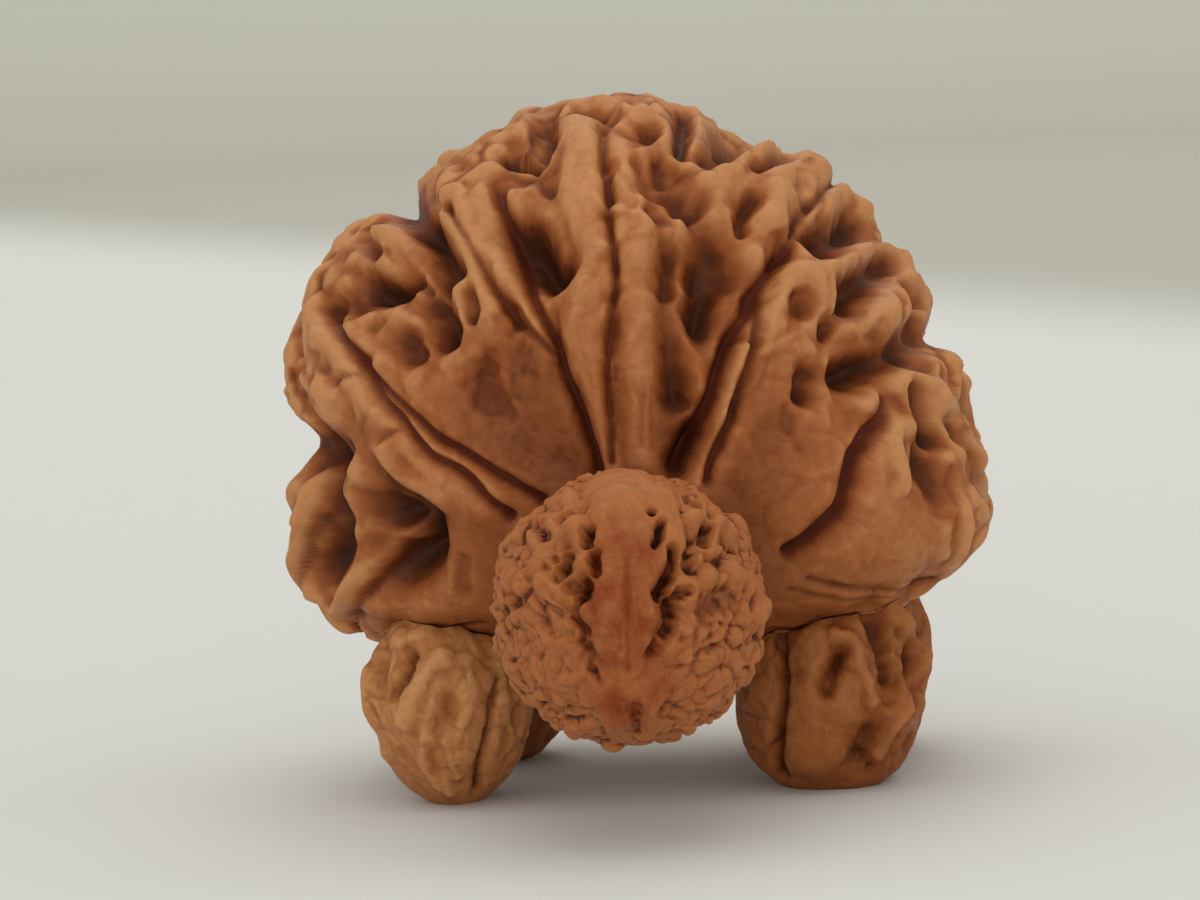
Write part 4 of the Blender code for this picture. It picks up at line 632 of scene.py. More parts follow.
frontLeftLeg = {
    "piece": "frontLeftWalnut",
    "node": "leg_front_left",
    "slot": "leg_front_left_hull",
    "centre": (-14.2, -8.2, 6.9),
    "halfWidth": (6.1, 6.0),
    "halfDepth": (6.4, 6.4),
    "halfHeight": (7.5, 8.0),
    "squareness": (1.72, 2.2),
    "bandEdge": 3.5,
    "panels": 72,
    "gather": 0.35,
    "wander": (0.07, 2.6),
    "smoothNear": (175, 75),
    "lobes": [(-75, 60, 4.0, 0.4)],
    "ridges": {
        "crest": (0.8, 1.1, [(2, 39), (-10, 33), (-19, 28), (-34, 24), (-58, 22), (-88, 25)]),
        "pale face": (1.8, 0.5, [(-77, 24), (-108, 24)]),
        "upper ridge": (0.6, 0.7, [(-2, 22), (-19, 13), (-79, 9), (-131, 15)]),
        "tip ridge left": (0.5, 0.6, [(-142, 24), (-159, 36), (-173, 48)]),
        "tip ridge middle": (0.45, 0.6, [(-148, 14), (-171, 25), (-178, 40), (179, 53)]),
        "tip ridge right": (0.4, 0.55, [(173, 14), (170, 26), (169, 40)]),
        "side ridge": (0.9, 0.5, [(43, 27), (118, 17), (156, 28)]),
        "outer ridge": (0.7, 0.7, [(-60, 70), (-85, 62), (-118, 60)]),
    },
    "grooves": {
        "seam": (0.3, 0.8, [(54, 49.5), (71.5, 37.5), (100, 33.5), (131, 38), (151, 49), (163, 67)]),
    },
    "pits": {
        "side pit": (0.7, 1, [(112, 89)]),
        "side hollow": (0.8, 0.5, [(90, 60)]),
        "crest valley": (0.6, 1.3, [(-24, 50), (-36, 41), (-57, 40)]),
        "hollow one": (0.9, 0.7, [(-52, 61), (-62, 49)]),
        "hollow two": (0.8, 0.5, [(-84, 57), (-104, 62)]),
        "ridge valley": (0.7, 0.5, [(12, 16), (-76, 2)]),
        "tip valley": (0.5, 0.5, [(-165, 21), (-175, 35)]),
    },
    "net": dict(legNet, seed=21),
    "hollowRounds": (5, 90),
    "look": dict(legLook, Crest=(203, 149, 96), Middle=(174, 113, 66), Hollow=(127, 74, 40),
                 Deep=(66, 33, 17), Seam=(84, 38, 20), Stain=(140, 80, 44)),
    "fine": legFine,
    "foot": True,
}

frontRightLeg = {
    "piece": "frontRightWalnut",
    "node": "leg_front_right",
    "slot": "leg_front_right_hull",
    "centre": (14.2, -5.0, 6.8),
    "halfWidth": (6.9, 6.7),
    "halfDepth": (6.6, 6.6),
    "halfHeight": (7.6, 8.6),
    "squareness": (2.3, 2.2),
    "bandEdge": 3.5,
    "panels": 72,
    "gather": 0.35,
    "wander": (0.07, 2.6),
    "smoothNear": (178, 80),
    "lobes": [(75, 80, 4.0, 0.3)],
    "bands": {
        "plateau": (2.1, 1, [(-15, 5), (-154, 14), (-163, 28)]),
        "plateau right": (1.5, 1, [(56, 17), (83, 12)]),
        "plateau top": (1.2, 1, [(-8, 39), (-13, 27)]),
    },
    "ridges": {
        "plateau rim": (0.65, 1.3, [(10, 41), (22, 40), (32, 34), (45, 29), (67, 27), (85, 27)]),
        "outer ridge": (0.62, 1.5, [
            (33, 72), (46, 73), (58, 79), (68, 82), (77, 70), (86, 61), (96, 51), (106, 44),
            (123, 43), (138, 45)]),
        "inner strand": (0.5, 0.6, [(39, 72), (46, 63), (56, 56)]),
        "outer fold": (0.5, 0.6, [(93, 70), (102, 59), (112, 51)]),
        "top bead one": (0.6, 0.5, [(-4, 49), (3, 42)]),
        "top bead two": (0.6, 0.4, [(16, 48), (23, 52)]),
        "inner face": (1.6, 0.5, [(-75, 41), (-102, 39)]),
    },
    "grooves": {
        "seam": (0.35, 1, [
            (-29, 54), (-42, 38), (-67, 28), (-97.5, 28), (-117, 34), (-133, 45), (-148, 62.5)]),
        "top line": (0.3, 0.5, [(-5, 62), (7, 63.5), (19, 66)]),
    },
    "pits": {
        "front pit": (0.5, 1.3, [(17, 33), (14, 24), (3, 11)]),
        "valley": (0.8, 1.5, [(32, 62), (48, 54), (69, 47)]),
        "red hollow": (0.75, 1.8, [(61, 76), (75, 68), (90, 62)]),
        "low hollow": (1, 1.4, [(129, 38), (151, 43)]),
        "low pit": (0.5, 0.7, [(149, 54)]),
        "right low hollow": (0.6, 0.6, [(121, 67)]),
    },
    "net": dict(legNet, seed=33),
    "hollowRounds": (5, 90),
    "look": legLook,
    "fine": legFine,
    "foot": True,
}

rearLeftLeg = {
    "piece": "rearLeftWalnut",
    "node": "leg_rear_left",
    "slot": "leg_rear_left_hull",
    "centre": (-13.4, 11.5, 6.8),
    "halfWidth": (6.2, 6.2),
    "halfDepth": (6.6, 6.6),
    "halfHeight": (7.4, 8.2),
    "squareness": (2.1, 2.2),
    "bandEdge": 3.5,
    "panels": 60,
    "gather": 0.3,
    "wander": (0.07, 2.6),
    "smoothNear": (178, 95),
    "lobes": [(-90, 90, 4.0, 0.3)],
    "ridges": {
        "side ridge": (0.9, 0.7, [(-60, 80), (-95, 72), (-125, 80)]),
        "back ridge": (0.9, 0.8, [(-40, 130), (-90, 150), (-140, 135)]),
    },
    "grooves": {
        "seam": (0.35, 0.8, [(40, 100), (90, 80), (140, 90), (165, 96)]),
    },
    "pits": {
        "back hollow": (1.0, 1.0, [(-70, 125)]),
    },
    "net": dict(legNet, seed=45),
    "hollowRounds": (5, 80),
    "look": legLook,
    "fine": legFine,
    "foot": True,
}

rearRightLeg = {
    "piece": "rearRightWalnut",
    "node": "leg_rear_right",
    "slot": "leg_rear_right_hull",
    "centre": (13.9, 11.5, 7.4),
    "halfWidth": (6.6, 6.4),
    "halfDepth": (6.9, 6.9),
    "halfHeight": (8.1, 8.6),
    "squareness": (2.1, 2.2),
    "bandEdge": 3.5,
    "panels": 60,
    "gather": 0.3,
    "wander": (0.07, 2.6),
    "smoothNear": (178, 95),
    "lobes": [(80, 90, 4.0, 0.3)],
    "ridges": {
        "side ridge": (0.9, 0.8, [(55, 85), (90, 78), (125, 84)]),
        "back ridge": (0.9, 0.8, [(40, 130), (90, 150), (140, 135)]),
    },
    "grooves": {
        "seam": (0.35, 0.8, [(-40, 100), (-90, 80), (-140, 90), (-165, 96)]),
    },
    "pits": {
        "back hollow": (1.0, 1.0, [(70, 125)]),
    },
    "net": dict(legNet, seed=57),
    "hollowRounds": (5, 80),
    "look": legLook,
    "fine": legFine,
    "foot": True,
}


# What the formulas for every nut's shape go by, sizes in mm
formRule = {
    "halfBlend": 0.35,       # how far from the middle one half size turns into the other
    "strokeReach": 4.0,      # how far a stroke is felt, in half widths
    "halfFall": 0.69,        # brings a stroke down to half its height at its half width
    "joinPower": 4,          # how clearly the strongest of crossing strokes wins
    "seedStray": 0.45,       # how far the net's seeds stray from even places
    "cellSpread": 0.5,       # how far a cell's own height reaches
    "wallWave": 0.05,        # how much the net's walls wave, as a share of the half width
    "wallLevel": 0.45,       # walls rise above this level and cells sink below it
    "moundShare": (0.3, 0.7),    # the cells' heights beside the smooth pole, and what is added away from it
    "drawnFull": 1.2,        # a stroke this high keeps the net wholly down
    "seamShare": 0.5,        # the reddish line is this part of its groove's width
    "deepest": 2.5,          # hollows count no deeper than this
    "lastRounds": 2,
    "far": 1e3,
}

# The larger this is, the flatter a stroke's top and the steeper its sides
strokeEdge = {"ridges": 2.1, "pits": 2.1, "slots": 3.4, "grooves": 1.6, "dips": 2.0, "stains": 2.5}


def aimFrom(clock, polar):
    c = math.radians(clock)
    t = math.radians(polar)
    return np.array([math.sin(t) * math.sin(c), -math.cos(t), math.sin(t) * math.cos(c)])


def easeBetween(low, high, x):
    t = np.clip((x - low) / (high - low), 0.0, 1.0)
    return t * t * (3.0 - 2.0 * t)


def plainRadius(nut, d):
    # the egg form, with half sizes that differ left/right, front/back and below/above
    blend = formRule["halfBlend"]
    side, back, up = (easeBetween(-blend, blend, d[:, i]) for i in range(3))
    p = nut["squareness"][0] * (1.0 - up) + nut["squareness"][1] * up
    ax = nut["halfWidth"][0] * (1.0 - side) + nut["halfWidth"][1] * side
    ay = nut["halfDepth"][0] * (1.0 - back) + nut["halfDepth"][1] * back
    az = nut["halfHeight"][0] * (1.0 - up) + nut["halfHeight"][1] * up
    total = np.abs(d[:, 0] / ax) ** p + np.abs(d[:, 1] / ay) ** p + np.abs(d[:, 2] / az) ** p
    r = total ** (-1.0 / p)
    for clock, polar, reach, height in nut["lobes"]:
        apart = np.linalg.norm(d - aimFrom(clock, polar), axis=1) * nut["halfHeight"][1]
        r = r + height * np.exp(-(apart / reach) ** 2)
    return r


def curveThrough(places, step=6):
    # a smooth line of directions through a stroke's places
    pts = [aimFrom(c, t) for c, t in places]
    if len(pts) == 1:
        return np.array(pts)
    ends = [2 * pts[0] - pts[1]] + pts + [2 * pts[-1] - pts[-2]]
    out = []
    for p0, p1, p2, p3 in zip(ends, ends[1:], ends[2:], ends[3:]):
        for k in range(step):
            t = k / step
            out.append(0.5 * (2 * p1 + (p2 - p0) * t + (2 * p0 - 5 * p1 + 4 * p2 - p3) * t * t
                              + (3 * p1 - p0 - 3 * p2 + p3) * t ** 3))
    out.append(pts[-1])
    out = np.array(out)
    return out / np.linalg.norm(out, axis=1)[:, None]


def distanceTo(line, p, reach):
    # only points near the line's box are measured, the rest count as far
    best = np.full(len(p), formRule["far"])
    near = np.all((p > line.min(axis=0) - reach) & (p < line.max(axis=0) + reach), axis=1)
    q = p[near]
    if len(q) == 0:
        return best
    found = np.linalg.norm(q - line[0], axis=1)
    for a, b in zip(line[:-1], line[1:]):
        ab = b - a
        t = np.clip((q - a) @ ab / max(ab @ ab, 1e-9), 0.0, 1.0)
        found = np.minimum(found, np.linalg.norm(q - a - t[:, None] * ab, axis=1))
    best[near] = found
    return best


def wander(nut, p):
    # drawn crests and pits wander a little, like grown ones
    amount, length = nut["wander"]
    k = 2.0 * math.pi / length
    x, y, z = p[:, 0] * k, p[:, 1] * k, p[:, 2] * k
    return p + amount * np.stack([
        np.sin(y + 1.2 * np.sin(0.7 * z)) + 0.5 * np.sin(2.3 * z + 1.1 * x),
        np.sin(z + 1.2 * np.sin(0.8 * x)) + 0.5 * np.sin(2.1 * x + 1.3 * y),
        np.sin(x + 1.2 * np.sin(0.6 * y)) + 0.5 * np.sin(2.4 * y + 0.9 * z)], axis=1)


def strokeField(nut, p, group, share=1.0):
    # strokes of one kind blend by their strongest, so crossings don't pile up
    power = nut["bandEdge"] if group == "bands" else strokeEdge[group]
    total = np.zeros(len(p))
    for half, height, places in nut.get(group, {}).values():
        line = curveThrough(places)
        line = line * plainRadius(nut, line)[:, None]
        t = distanceTo(line, p, formRule["strokeReach"] * half) / (half * share)
        total += (height * np.exp(-formRule["halfFall"] * t ** power)) ** formRule["joinPower"]
    return total ** (1.0 / formRule["joinPower"])


def cellField(nut, p, d):
    # walls between the cells of a net drawn out along the nut, and a soft height that
    # goes from cell to cell, some low and some high
    net = nut["net"]
    draw = np.random.RandomState(net["seed"])
    n = net["cells"]
    k = np.arange(n) + 0.5
    tilt = np.arccos(1.0 - 2.0 * k / n)
    turn = math.pi * (1.0 + 5.0 ** 0.5) * k
    seeds = np.stack([np.sin(tilt) * np.cos(turn), np.cos(tilt), np.sin(tilt) * np.sin(turn)], axis=1)
    seeds = seeds + draw.normal(0.0, formRule["seedStray"] * math.sqrt(4.0 / n), seeds.shape)
    seeds = seeds / np.linalg.norm(seeds, axis=1)[:, None]
    heights = draw.uniform(-1.0, 1.0, n)
    size = nut["halfWidth"][0]
    spread = formRule["cellSpread"] * size * math.sqrt(4.0 * math.pi / n)
    wave = size * formRule["wallWave"]
    q = p + wave * np.stack([np.sin(p[:, 1] * 9.0 / size + p[:, 2] * 7.0 / size),
                             np.sin(p[:, 2] * 8.0 / size + 1.7),
                             np.sin(p[:, 0] * 9.0 / size - p[:, 1] * 6.0 / size)], axis=1)
    q = q * (size / np.linalg.norm(q, axis=1))[:, None]
    pole = aimFrom(*nut["smoothNear"])
    along = pole - d * (d @ pole)[:, None]
    along = along / np.maximum(np.linalg.norm(along, axis=1), 1e-6)[:, None]
    first = np.full(len(p), formRule["far"])
    second = first.copy()
    weight = np.full(len(p), 1e-6)
    soft = np.zeros(len(p))
    for seed, height in zip(seeds * size, heights):
        gap = q - seed
        lengthwise = np.einsum("ij,ij->i", gap, along)
        apart = np.sqrt(np.maximum(np.einsum("ij,ij->i", gap, gap)
                                   - (1.0 - net["stretch"] ** 2) * lengthwise ** 2, 0.0))
        second = np.minimum(second, np.maximum(first, apart))
        first = np.minimum(first, apart)
        share = np.exp(-(apart / spread) ** 2)
        weight += share
        soft += share * height
    return np.exp(-((second - first) / (2.0 * net["wall"])) ** 2), soft / weight


def hullShape(nut, d):
    # radius in each direction, and what the hull is like there: on a seam, rough, drawn by
    # the strokes, how far it lies below the plain egg form, and where wax has stained it
    r = plainRadius(nut, d)
    p = d * r[:, None]
    fromPole = np.degrees(np.arccos(np.clip(d @ aimFrom(*nut["smoothNear"]), -1.0, 1.0)))
    net = nut["net"]
    away = easeBetween(net["from"], net["to"], fromPole)
    q = wander(nut, p)
    raised = np.maximum(strokeField(nut, q, "ridges"), strokeField(nut, p, "bands"))
    sunk = np.maximum(strokeField(nut, q, "pits"), strokeField(nut, q, "slots"))
    cut = strokeField(nut, p, "grooves")
    dip = strokeField(nut, p, "dips")
    walls, soft = cellField(nut, p, d)
    mesh = (net["low"] + (net["high"] - net["low"]) * away) * (walls - formRule["wallLevel"])
    least, more = formRule["moundShare"]
    mounds = net["uneven"] * (least + more * away) * soft
    drawn = np.clip((raised + sunk) / formRule["drawnFull"], 0.0, 1.0)
    full = r + raised - sunk - cut - dip + (mesh + mounds) * (1.0 - net["calm"] * drawn)
    return full, {
        "seam": np.clip(strokeField(nut, p, "grooves", formRule["seamShare"]), 0.0, 1.0),
        "rough": away,
        "drawn": drawn,
        "carved": r - full,
        "stain": np.clip(strokeField(nut, p, "stains"), 0.0, 1.0),
    }


def clearOfShell(p):
    # points that would lie inside the big nut are moved out to just clear of it
    centre = np.array(shellNut["centre"])
    v = p - centre
    r = np.linalg.norm(v, axis=1)
    d = v / r[:, None]
    clear = hullShape(shellNut, d)[0] + seatGap
    inside = r < clear
    p = p.copy()
    p[inside] = centre + d[inside] * clear[inside][:, None]
    return p


def hollowness(edges, heights, rounds):
    # how far a point lies below the blurred surface around it
    n = len(heights)
    ends = np.concatenate([edges[:, 0], edges[:, 1]])
    others = np.concatenate([edges[:, 1], edges[:, 0]])
    count = np.bincount(ends, minlength=n)

    def blurred(values, times):
        for _ in range(times):
            values = 0.5 * values + 0.5 * np.bincount(ends, weights=values[others], minlength=n) / count
        return values

    below = np.clip(blurred(heights, rounds) - heights, -formRule["deepest"], formRule["deepest"])
    return blurred(below, formRule["lastRounds"])


def grindFoot(bm, level):
    geom = bm.verts[:] + bm.edges[:] + bm.faces[:]
    cut = bmesh.ops.bisect_plane(bm, geom=geom, dist=0.00001, plane_co=(0.0, 0.0, level),
                                 plane_no=(0.0, 0.0, 1.0), clear_inner=True)
    rim = [e for e in cut["geom_cut"] if isinstance(e, bmesh.types.BMEdge)]
    sole = bmesh.ops.contextual_create(bm, geom=rim)["faces"][0]
    sole.normal_update()
    if sole.normal.z > 0.0:
        sole.normal_flip()


def hullMesh(nut):
    # a cube cut into fine panels and thrown out onto the nut's shape, finest at the front
    bm = bmesh.new()
    bmesh.ops.create_cube(bm, size=2.0)
    bmesh.ops.subdivide_edges(bm, edges=bm.edges[:], cuts=nut["panels"] - 1, use_grid_fill=True)
    mesh = bpy.data.meshes.new(nut["piece"])
    bm.to_mesh(mesh)
    bm.free()
    corners = np.empty(len(mesh.vertices) * 3)
    mesh.vertices.foreach_get("co", corners)
    corners = np.tan(corners.reshape(-1, 3) * math.pi / 4.0)
    d = corners / np.linalg.norm(corners, axis=1)[:, None] + np.array([0.0, -nut["gather"], 0.0])
    d = d / np.linalg.norm(d, axis=1)[:, None]
    r, marks = hullShape(nut, d)
    p = np.array(nut["centre"]) + d * r[:, None]
    if nut is not shellNut:
        p = clearOfShell(p)
    edges = np.empty(len(mesh.edges) * 2, dtype=np.int64)
    mesh.edges.foreach_get("vertices", edges)
    edges = edges.reshape(-1, 2)
    # these hollow measures darken the colours as painted shade, besides dark wax
    for name, rounds in zip(("tightHollow", "wideHollow"), nut["hollowRounds"]):
        marks[name] = hollowness(edges, r, rounds)
    for name, values in marks.items():
        store = mesh.attributes.new(name, "FLOAT", "POINT")
        store.data.foreach_set("value", values.astype(np.float32))
    p = (p + np.array(figureShift)) * mm
    mesh.vertices.foreach_set("co", p.ravel())
    mesh.update()
    return mesh


def addSockets(tree, kind, names, way="INPUT"):
    for name in names:
        tree.interface.new_socket(name, in_out=way, socket_type="NodeSocket" + kind)


def mathsFor(tree):
    # one short call for each maths node of a tree, with sockets or plain numbers
    def maths(operation, a, b=None, clamp=False):
        node = tree.nodes.new("ShaderNodeMath")
        node.operation = operation
        node.use_clamp = clamp
        for i, value in enumerate((a, b)):
            if isinstance(value, (int, float)):
                node.inputs[i].default_value = value
            elif value is not None:
                tree.links.new(value, node.inputs[i])
        return node.outputs[0]

    return maths


# The fine relief of every nut, sizes in metres
fineRule = {
    "driftScale": 260.0,
    "driftReach": 0.0018,    # the knobs' places wander this far, so that no row of them shows
    "knobSoftness": 0.2,
    "domeLevel": 0.2,        # a knob is a dome about this level
    "domeGain": 2.2,
    "drawnCalm": 0.9,        # how much the strokes quieten the fine relief
    "wrinkles": {"Detail": 3.0, "Roughness": 0.6, "Distortion": 0.6},
    "soleFade": (0.0001, 0.0012),    # the relief fades in between these heights over the ground
    "blurRounds": 5,
}


# Fine wrinkles and pores that cover a nut's hull, pushed out along its normals
def fineHullTree():
    tree = bpy.data.node_groups.new("fineHull", "GeometryNodeTree")
    addSockets(tree, "Geometry", ["Geometry"])
    addSockets(tree, "Float", ["Knob Size", "Knob Depth", "Wrinkle Size", "Wrinkle Depth", "Calm"])
    addSockets(tree, "Material", ["Hull"])
    addSockets(tree, "Geometry", ["Geometry"], "OUTPUT")
    nodes = tree.nodes
    links = tree.links
    maths = mathsFor(tree)
    start = nodes.new("NodeGroupInput").outputs
    end = nodes.new("NodeGroupOutput")

    def attribute(name):
        node = nodes.new("GeometryNodeInputNamedAttribute")
        node.data_type = "FLOAT"
        node.inputs["Name"].default_value = name
        return node.outputs["Attribute"]

    place = nodes.new("GeometryNodeInputPosition")
    calm = start["Calm"]
    amount = maths("ADD", maths("MULTIPLY", attribute("rough"), maths("SUBTRACT", 1.0, calm)), calm)
    drawn = maths("MULTIPLY", attribute("drawn"), fineRule["drawnCalm"])
    amount = maths("MULTIPLY", amount, maths("SUBTRACT", 1.0, drawn))

    drift = nodes.new("ShaderNodeTexNoise")
    drift.inputs["Scale"].default_value = fineRule["driftScale"]
    drift.inputs["Detail"].default_value = 1.0
    links.new(place.outputs[0], drift.inputs["Vector"])
    shiftBy = nodes.new("ShaderNodeVectorMath")
    shiftBy.operation = "MULTIPLY_ADD"
    shiftBy.inputs[1].default_value = [fineRule["driftReach"]] * 3
    links.new(drift.outputs["Color"], shiftBy.inputs[0])
    links.new(place.outputs[0], shiftBy.inputs[2])

    knobs = nodes.new("ShaderNodeTexVoronoi")
    knobs.feature = "SMOOTH_F1"
    knobs.inputs["Smoothness"].default_value = fineRule["knobSoftness"]
    links.new(shiftBy.outputs[0], knobs.inputs["Vector"])
    links.new(maths("DIVIDE", 1.0, start["Knob Size"]), knobs.inputs["Scale"])
    dome = maths("SUBTRACT", fineRule["domeLevel"], maths("POWER", knobs.outputs["Distance"], 2.0))
    # Colours are given in the usual 0 to 255 way and turned linear here
    dome = maths("MULTIPLY", dome, fineRule["domeGain"])
    knobLift = maths("MULTIPLY", maths("MULTIPLY", dome, amount), start["Knob Depth"])

    wrinkles = nodes.new("ShaderNodeTexNoise")
    for name, value in fineRule["wrinkles"].items():
        wrinkles.inputs[name].default_value = value
    links.new(shiftBy.outputs[0], wrinkles.inputs["Vector"])
    links.new(maths("DIVIDE", 1.0, start["Wrinkle Size"]), wrinkles.inputs["Scale"])
    wrinkle = maths("SUBTRACT", wrinkles.outputs[0], 0.5)
    lift = maths("ADD", knobLift, maths("MULTIPLY", wrinkle, start["Wrinkle Depth"]))

    # the flat sole of a foot stays flat
    normal = nodes.new("GeometryNodeInputNormal")
    upDown = nodes.new("ShaderNodeSeparateXYZ")
    links.new(place.outputs[0], upDown.inputs[0])
    offSole = nodes.new("ShaderNodeMapRange")
    offSole.inputs["From Min"].default_value = fineRule["soleFade"][0]
    offSole.inputs["From Max"].default_value = fineRule["soleFade"][1]
    links.new(upDown.outputs["Z"], offSole.inputs["Value"])
    push = nodes.new("ShaderNodeVectorMath")
    push.operation = "SCALE"
    links.new(normal.outputs[0], push.inputs[0])
    links.new(maths("MULTIPLY", lift, offSole.outputs[0]), push.inputs["Scale"])

    # how far each point lies below the fine relief around it, in mm, is kept for the colours, where it
    # drives painted shade and painted highlight
    soft = nodes.new("GeometryNodeBlurAttribute")
    soft.data_type = "FLOAT"
    soft.inputs["Iterations"].default_value = fineRule["blurRounds"]
    links.new(lift, soft.inputs[0])
    store = nodes.new("GeometryNodeStoreNamedAttribute")
    store.data_type = "FLOAT"
    store.domain = "POINT"
    store.inputs["Name"].default_value = "fineHollow"
    links.new(start["Geometry"], store.inputs["Geometry"])
    links.new(maths("MULTIPLY", maths("SUBTRACT", soft.outputs[0], lift), 1.0 / mm), store.inputs["Value"])

    move = nodes.new("GeometryNodeSetPosition")
    links.new(store.outputs[0], move.inputs["Geometry"])
    links.new(push.outputs[0], move.inputs["Offset"])
    smooth = nodes.new("GeometryNodeSetShadeSmooth")
    links.new(move.outputs[0], smooth.inputs["Geometry"])
    real = nodes.new("GeometryNodeRealizeInstances")
    links.new(smooth.outputs[0], real.inputs[0])
    finish = nodes.new("GeometryNodeSetMaterial")
    links.new(real.outputs[0], finish.inputs["Geometry"])
    links.new(start["Hull"], finish.inputs["Material"])
    links.new(finish.outputs[0], end.inputs[0])
    return tree


fineHull = fineHullTree()


def applyFineHull(obj, settings):
    fine = obj.modifiers.new("fineHull", "NODES")
    fine.node_group = fineHull
    for item in fineHull.interface.items_tree:
        if item.name in settings:
            fine[item.identifier] = settings[item.name]
    deps = bpy.context.evaluated_depsgraph_get()
    plain = bpy.data.meshes.new_from_object(obj.evaluated_get(deps), depsgraph=deps)
    obj.modifiers.remove(fine)
    old = obj.data
    obj.data = plain
    bpy.data.meshes.remove(old)


# Scale, detail and roughness of the patterns in the hull's colour and grain
hullNoise = {
    "mottle": (180.0, 4.0, 0.6),
    "speckle": (1500.0, 2.0, 0.7),
    "patches": (420.0, 3.0, 0.6),
    "swell": (150.0, 1.5, 0.5),
    "grit": (900.0, 4.0, 0.65),
}

# Where each tone sets in and how fast it comes; depth is 0 on plain hull and grows downwards, and the tones
# it brings are partly painted shade down in the hollows and painted highlight up on the crests
toneRamps = {
    "crest": (0.0, -0.9),
    "hollow": (0.05, 0.85),
    "deep": (0.95, 0.7),
    "patches": (0.22, 2.6),
    "seam": (0.10, 0.85),
}

# How much each pattern changes the hull's tone, roughness and grain
hullShares = {
    "mottleDepth": 0.7,
    "fleckLowest": 0.83,
    "fleckRange": 0.35,
    "roughness": 0.42,
    "hollowRoughness": 0.12,
    "mottleRoughness": 0.14,
    "poreScale": 2600.0,
    "poreHeight": 0.25,
    "gritHeight": 0.75,
    "lineHeight": 4.0,
    "bumpDepth": 0.00012,
}

# The waxed hull's gloss, and light that goes a little way into it
hullFinish = {
    "Specular IOR Level": 0.13,
    "Subsurface Weight": 0.12,
    "Subsurface Radius": (1.0, 0.35, 0.15),
    "Subsurface Scale": 0.0012,
    "Coat Weight": 0.02,
    "Coat Roughness": 0.3,
}

# Crest also serves as a painted highlight, and Hollow and Deep also serve as painted shade, over the wax
# and wear they stand for
toneColours = ("Crest", "Middle", "Hollow", "Deep", "Seam", "Stain")
toneValues = ("Wide Reach", "Tight Reach", "Fine Reach", "Carved Reach", "Stem Shade And Wax", "Wax Stain",
              "Line Count", "Line Tone")
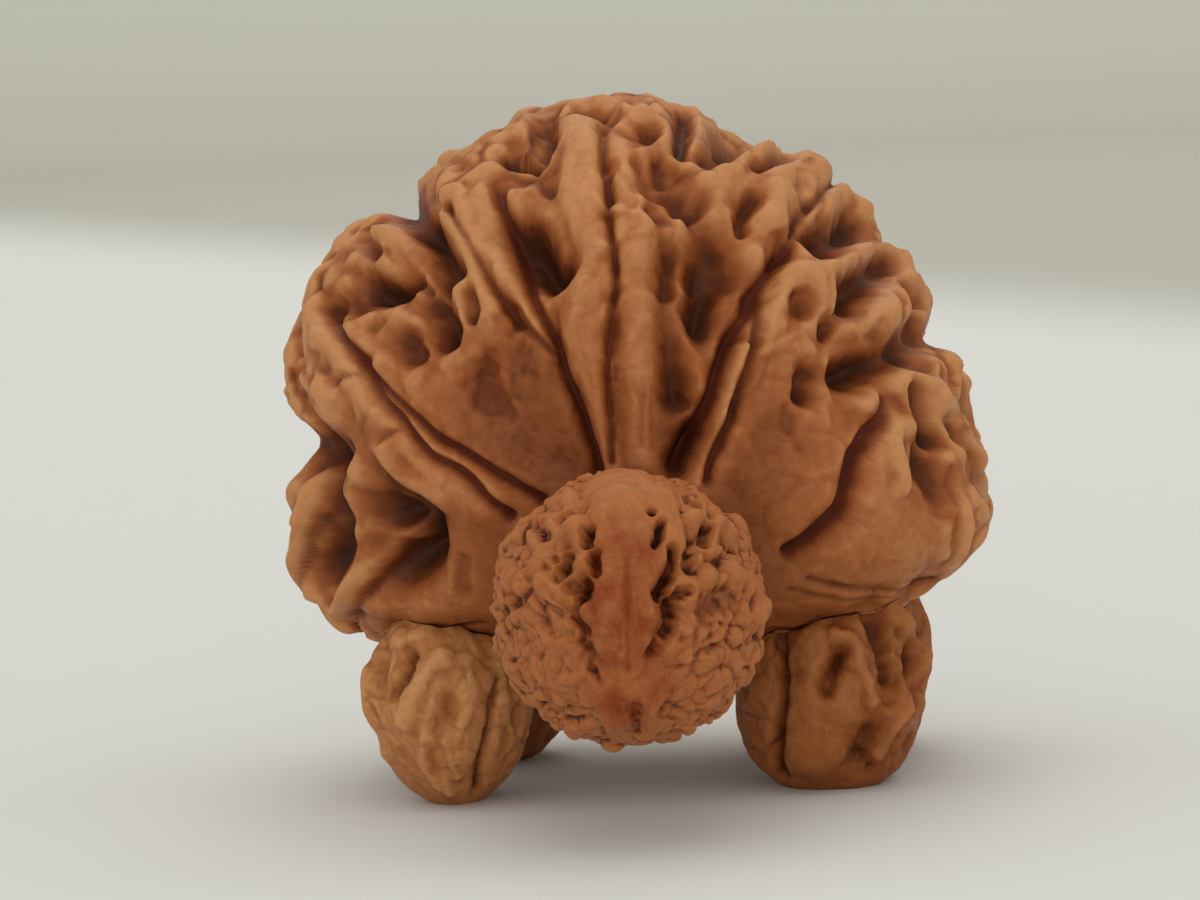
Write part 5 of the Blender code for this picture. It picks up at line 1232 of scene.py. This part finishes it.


# Waxed hull: crests are worn pale and tan and also carry a painted highlight, crevices keep dark wax and
# also carry painted shade, seams are reddish
def hullToneGroup():
    tree = bpy.data.node_groups.new("hullTone", "ShaderNodeTree")
    addSockets(tree, "Color", toneColours)
    addSockets(tree, "Float", toneValues)
    addSockets(tree, "Color", ["Colour"], "OUTPUT")
    addSockets(tree, "Float", ["Roughness", "Height"], "OUTPUT")
    nodes = tree.nodes
    links = tree.links
    maths = mathsFor(tree)
    start = nodes.new("NodeGroupInput").outputs
    end = nodes.new("NodeGroupOutput")
    coords = nodes.new("ShaderNodeTexCoord").outputs["Object"]

    def attribute(name):
        node = nodes.new("ShaderNodeAttribute")
        node.attribute_name = name
        return node.outputs["Fac"]

    def blend(amount, a, b):
        node = nodes.new("ShaderNodeMix")
        node.data_type = "RGBA"
        links.new(amount, node.inputs[0])
        links.new(a, node.inputs[6])
        links.new(b, node.inputs[7])
        return node.outputs[2]

    def noise(name):
        node = nodes.new("ShaderNodeTexNoise")
        for socket, value in zip(("Scale", "Detail", "Roughness"), hullNoise[name]):
            node.inputs[socket].default_value = value
        links.new(coords, node.inputs["Vector"])
        return node.outputs[0]

    def ramp(name, value):
        level, gain = toneRamps[name]
        return maths("MULTIPLY", maths("SUBTRACT", value, level), gain, clamp=True)

    mottle = noise("mottle")
    wide = maths("DIVIDE", attribute("wideHollow"), start["Wide Reach"])
    tight = maths("DIVIDE", attribute("tightHollow"), start["Tight Reach"])
    fine = maths("DIVIDE", attribute("fineHollow"), start["Fine Reach"])
    carved = maths("DIVIDE", attribute("carved"), start["Carved Reach"])
    depth = maths("ADD", maths("ADD", wide, tight), maths("ADD", fine, carved))
    # painted shade with some darker wax: the smooth hull near the stem end is made darker
    stem = maths("MULTIPLY", maths("SUBTRACT", 1.0, attribute("rough")), start["Stem Shade And Wax"])
    depth = maths("ADD", depth, stem)
    patch = maths("MULTIPLY", maths("SUBTRACT", mottle, 0.5), hullShares["mottleDepth"])
    depth = maths("ADD", depth, patch)

    # painted light and shade: the deeper a point lies in a hollow the darker it is made, and the higher it
    # stands on a crest the paler, on top of the real wax and wear
    hollow = ramp("hollow", depth)
    colour = blend(ramp("crest", depth), start["Middle"], start["Crest"])
    colour = blend(hollow, colour, start["Hollow"])
    colour = blend(ramp("deep", depth), colour, start["Deep"])
    stained = maths("MULTIPLY", attribute("stain"), ramp("patches", noise("patches")))
    stained = maths("MULTIPLY", stained, start["Wax Stain"], clamp=True)
    colour = blend(stained, colour, start["Stain"])
    colour = blend(ramp("seam", attribute("seam")), colour, start["Seam"])

    # growth lines that follow the swells of the hull
    growth = maths("SINE", maths("MULTIPLY", noise("swell"), start["Line Count"]))
    growth = maths("MULTIPLY", maths("MULTIPLY", growth, growth), growth)

    # small pale and dark flecks in the wax
    fleck = nodes.new("ShaderNodeHueSaturation")
    bright = maths("MULTIPLY", noise("speckle"), hullShares["fleckRange"])
    bright = maths("ADD", bright, hullShares["fleckLowest"])
    bright = maths("ADD", bright, maths("MULTIPLY", growth, start["Line Tone"]))
    links.new(bright, fleck.inputs["Value"])
    links.new(colour, fleck.inputs["Color"])
    links.new(fleck.outputs[0], end.inputs["Colour"])

    shine = maths("ADD", maths("MULTIPLY", hollow, hullShares["hollowRoughness"]),
                  maths("MULTIPLY", mottle, hullShares["mottleRoughness"]))
    links.new(maths("ADD", shine, hullShares["roughness"]), end.inputs["Roughness"])

    pores = nodes.new("ShaderNodeTexVoronoi")
    pores.inputs["Scale"].default_value = hullShares["poreScale"]
    links.new(coords, pores.inputs["Vector"])
    height = maths("ADD", maths("MULTIPLY", pores.outputs["Distance"], hullShares["poreHeight"]),
                   maths("MULTIPLY", noise("grit"), hullShares["gritHeight"]))
    lines = maths("MULTIPLY", growth, maths("MULTIPLY", start["Line Tone"], hullShares["lineHeight"]))
    links.new(maths("ADD", height, lines), end.inputs["Height"])
    return tree


hullTone = hullToneGroup()


def hullMaterial(nut):
    look = nut["look"]
    mat = bpy.data.materials.new(nut["piece"] + "Hull")
    mat.use_nodes = True
    tree = mat.node_tree
    skin = tree.nodes["Principled BSDF"]
    tone = tree.nodes.new("ShaderNodeGroup")
    tone.node_tree = hullTone
    for name in toneColours:
        tone.inputs[name].default_value = tint(*look[name])
    for name in toneValues:
        tone.inputs[name].default_value = look[name]
    bump = tree.nodes.new("ShaderNodeBump")
    bump.inputs["Strength"].default_value = look["Grain"]
    bump.inputs["Distance"].default_value = hullShares["bumpDepth"]
    tree.links.new(tone.outputs["Height"], bump.inputs["Height"])
    tree.links.new(tone.outputs["Colour"], skin.inputs["Base Color"])
    tree.links.new(tone.outputs["Roughness"], skin.inputs["Roughness"])
    tree.links.new(bump.outputs[0], skin.inputs["Normal"])
    for name, value in hullFinish.items():
        skin.inputs[name].default_value = value
    return mat


def makeNut(nut):
    obj = bpy.data.objects.new(nut["piece"], hullMesh(nut))
    bpy.context.scene.collection.objects.link(obj)
    hull = hullMaterial(nut)
    applyFineHull(obj, dict(nut["fine"], Hull=hull))
    if nut.get("foot"):
        bm = bmesh.new()
        bm.from_mesh(obj.data)
        grindFoot(bm, 0.0)
        bm.to_mesh(obj.data)
        bm.free()
    obj.data.materials.clear()
    obj.data.materials.append(hull)
    obj.data.polygons.foreach_set("use_smooth", [True] * len(obj.data.polygons))
    obj.data.update()
    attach(obj, "root")
    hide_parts(nut["node"])
    print(nut["piece"], "made,", sum(len(f.vertices) - 2 for f in obj.data.polygons), "triangles")


for nut in (shellNut, headNut, frontLeftLeg, frontRightLeg, rearLeftLeg, rearRightLeg):
    makeNut(nut)

bpy.context.scene.view_settings.view_transform = "Standard"
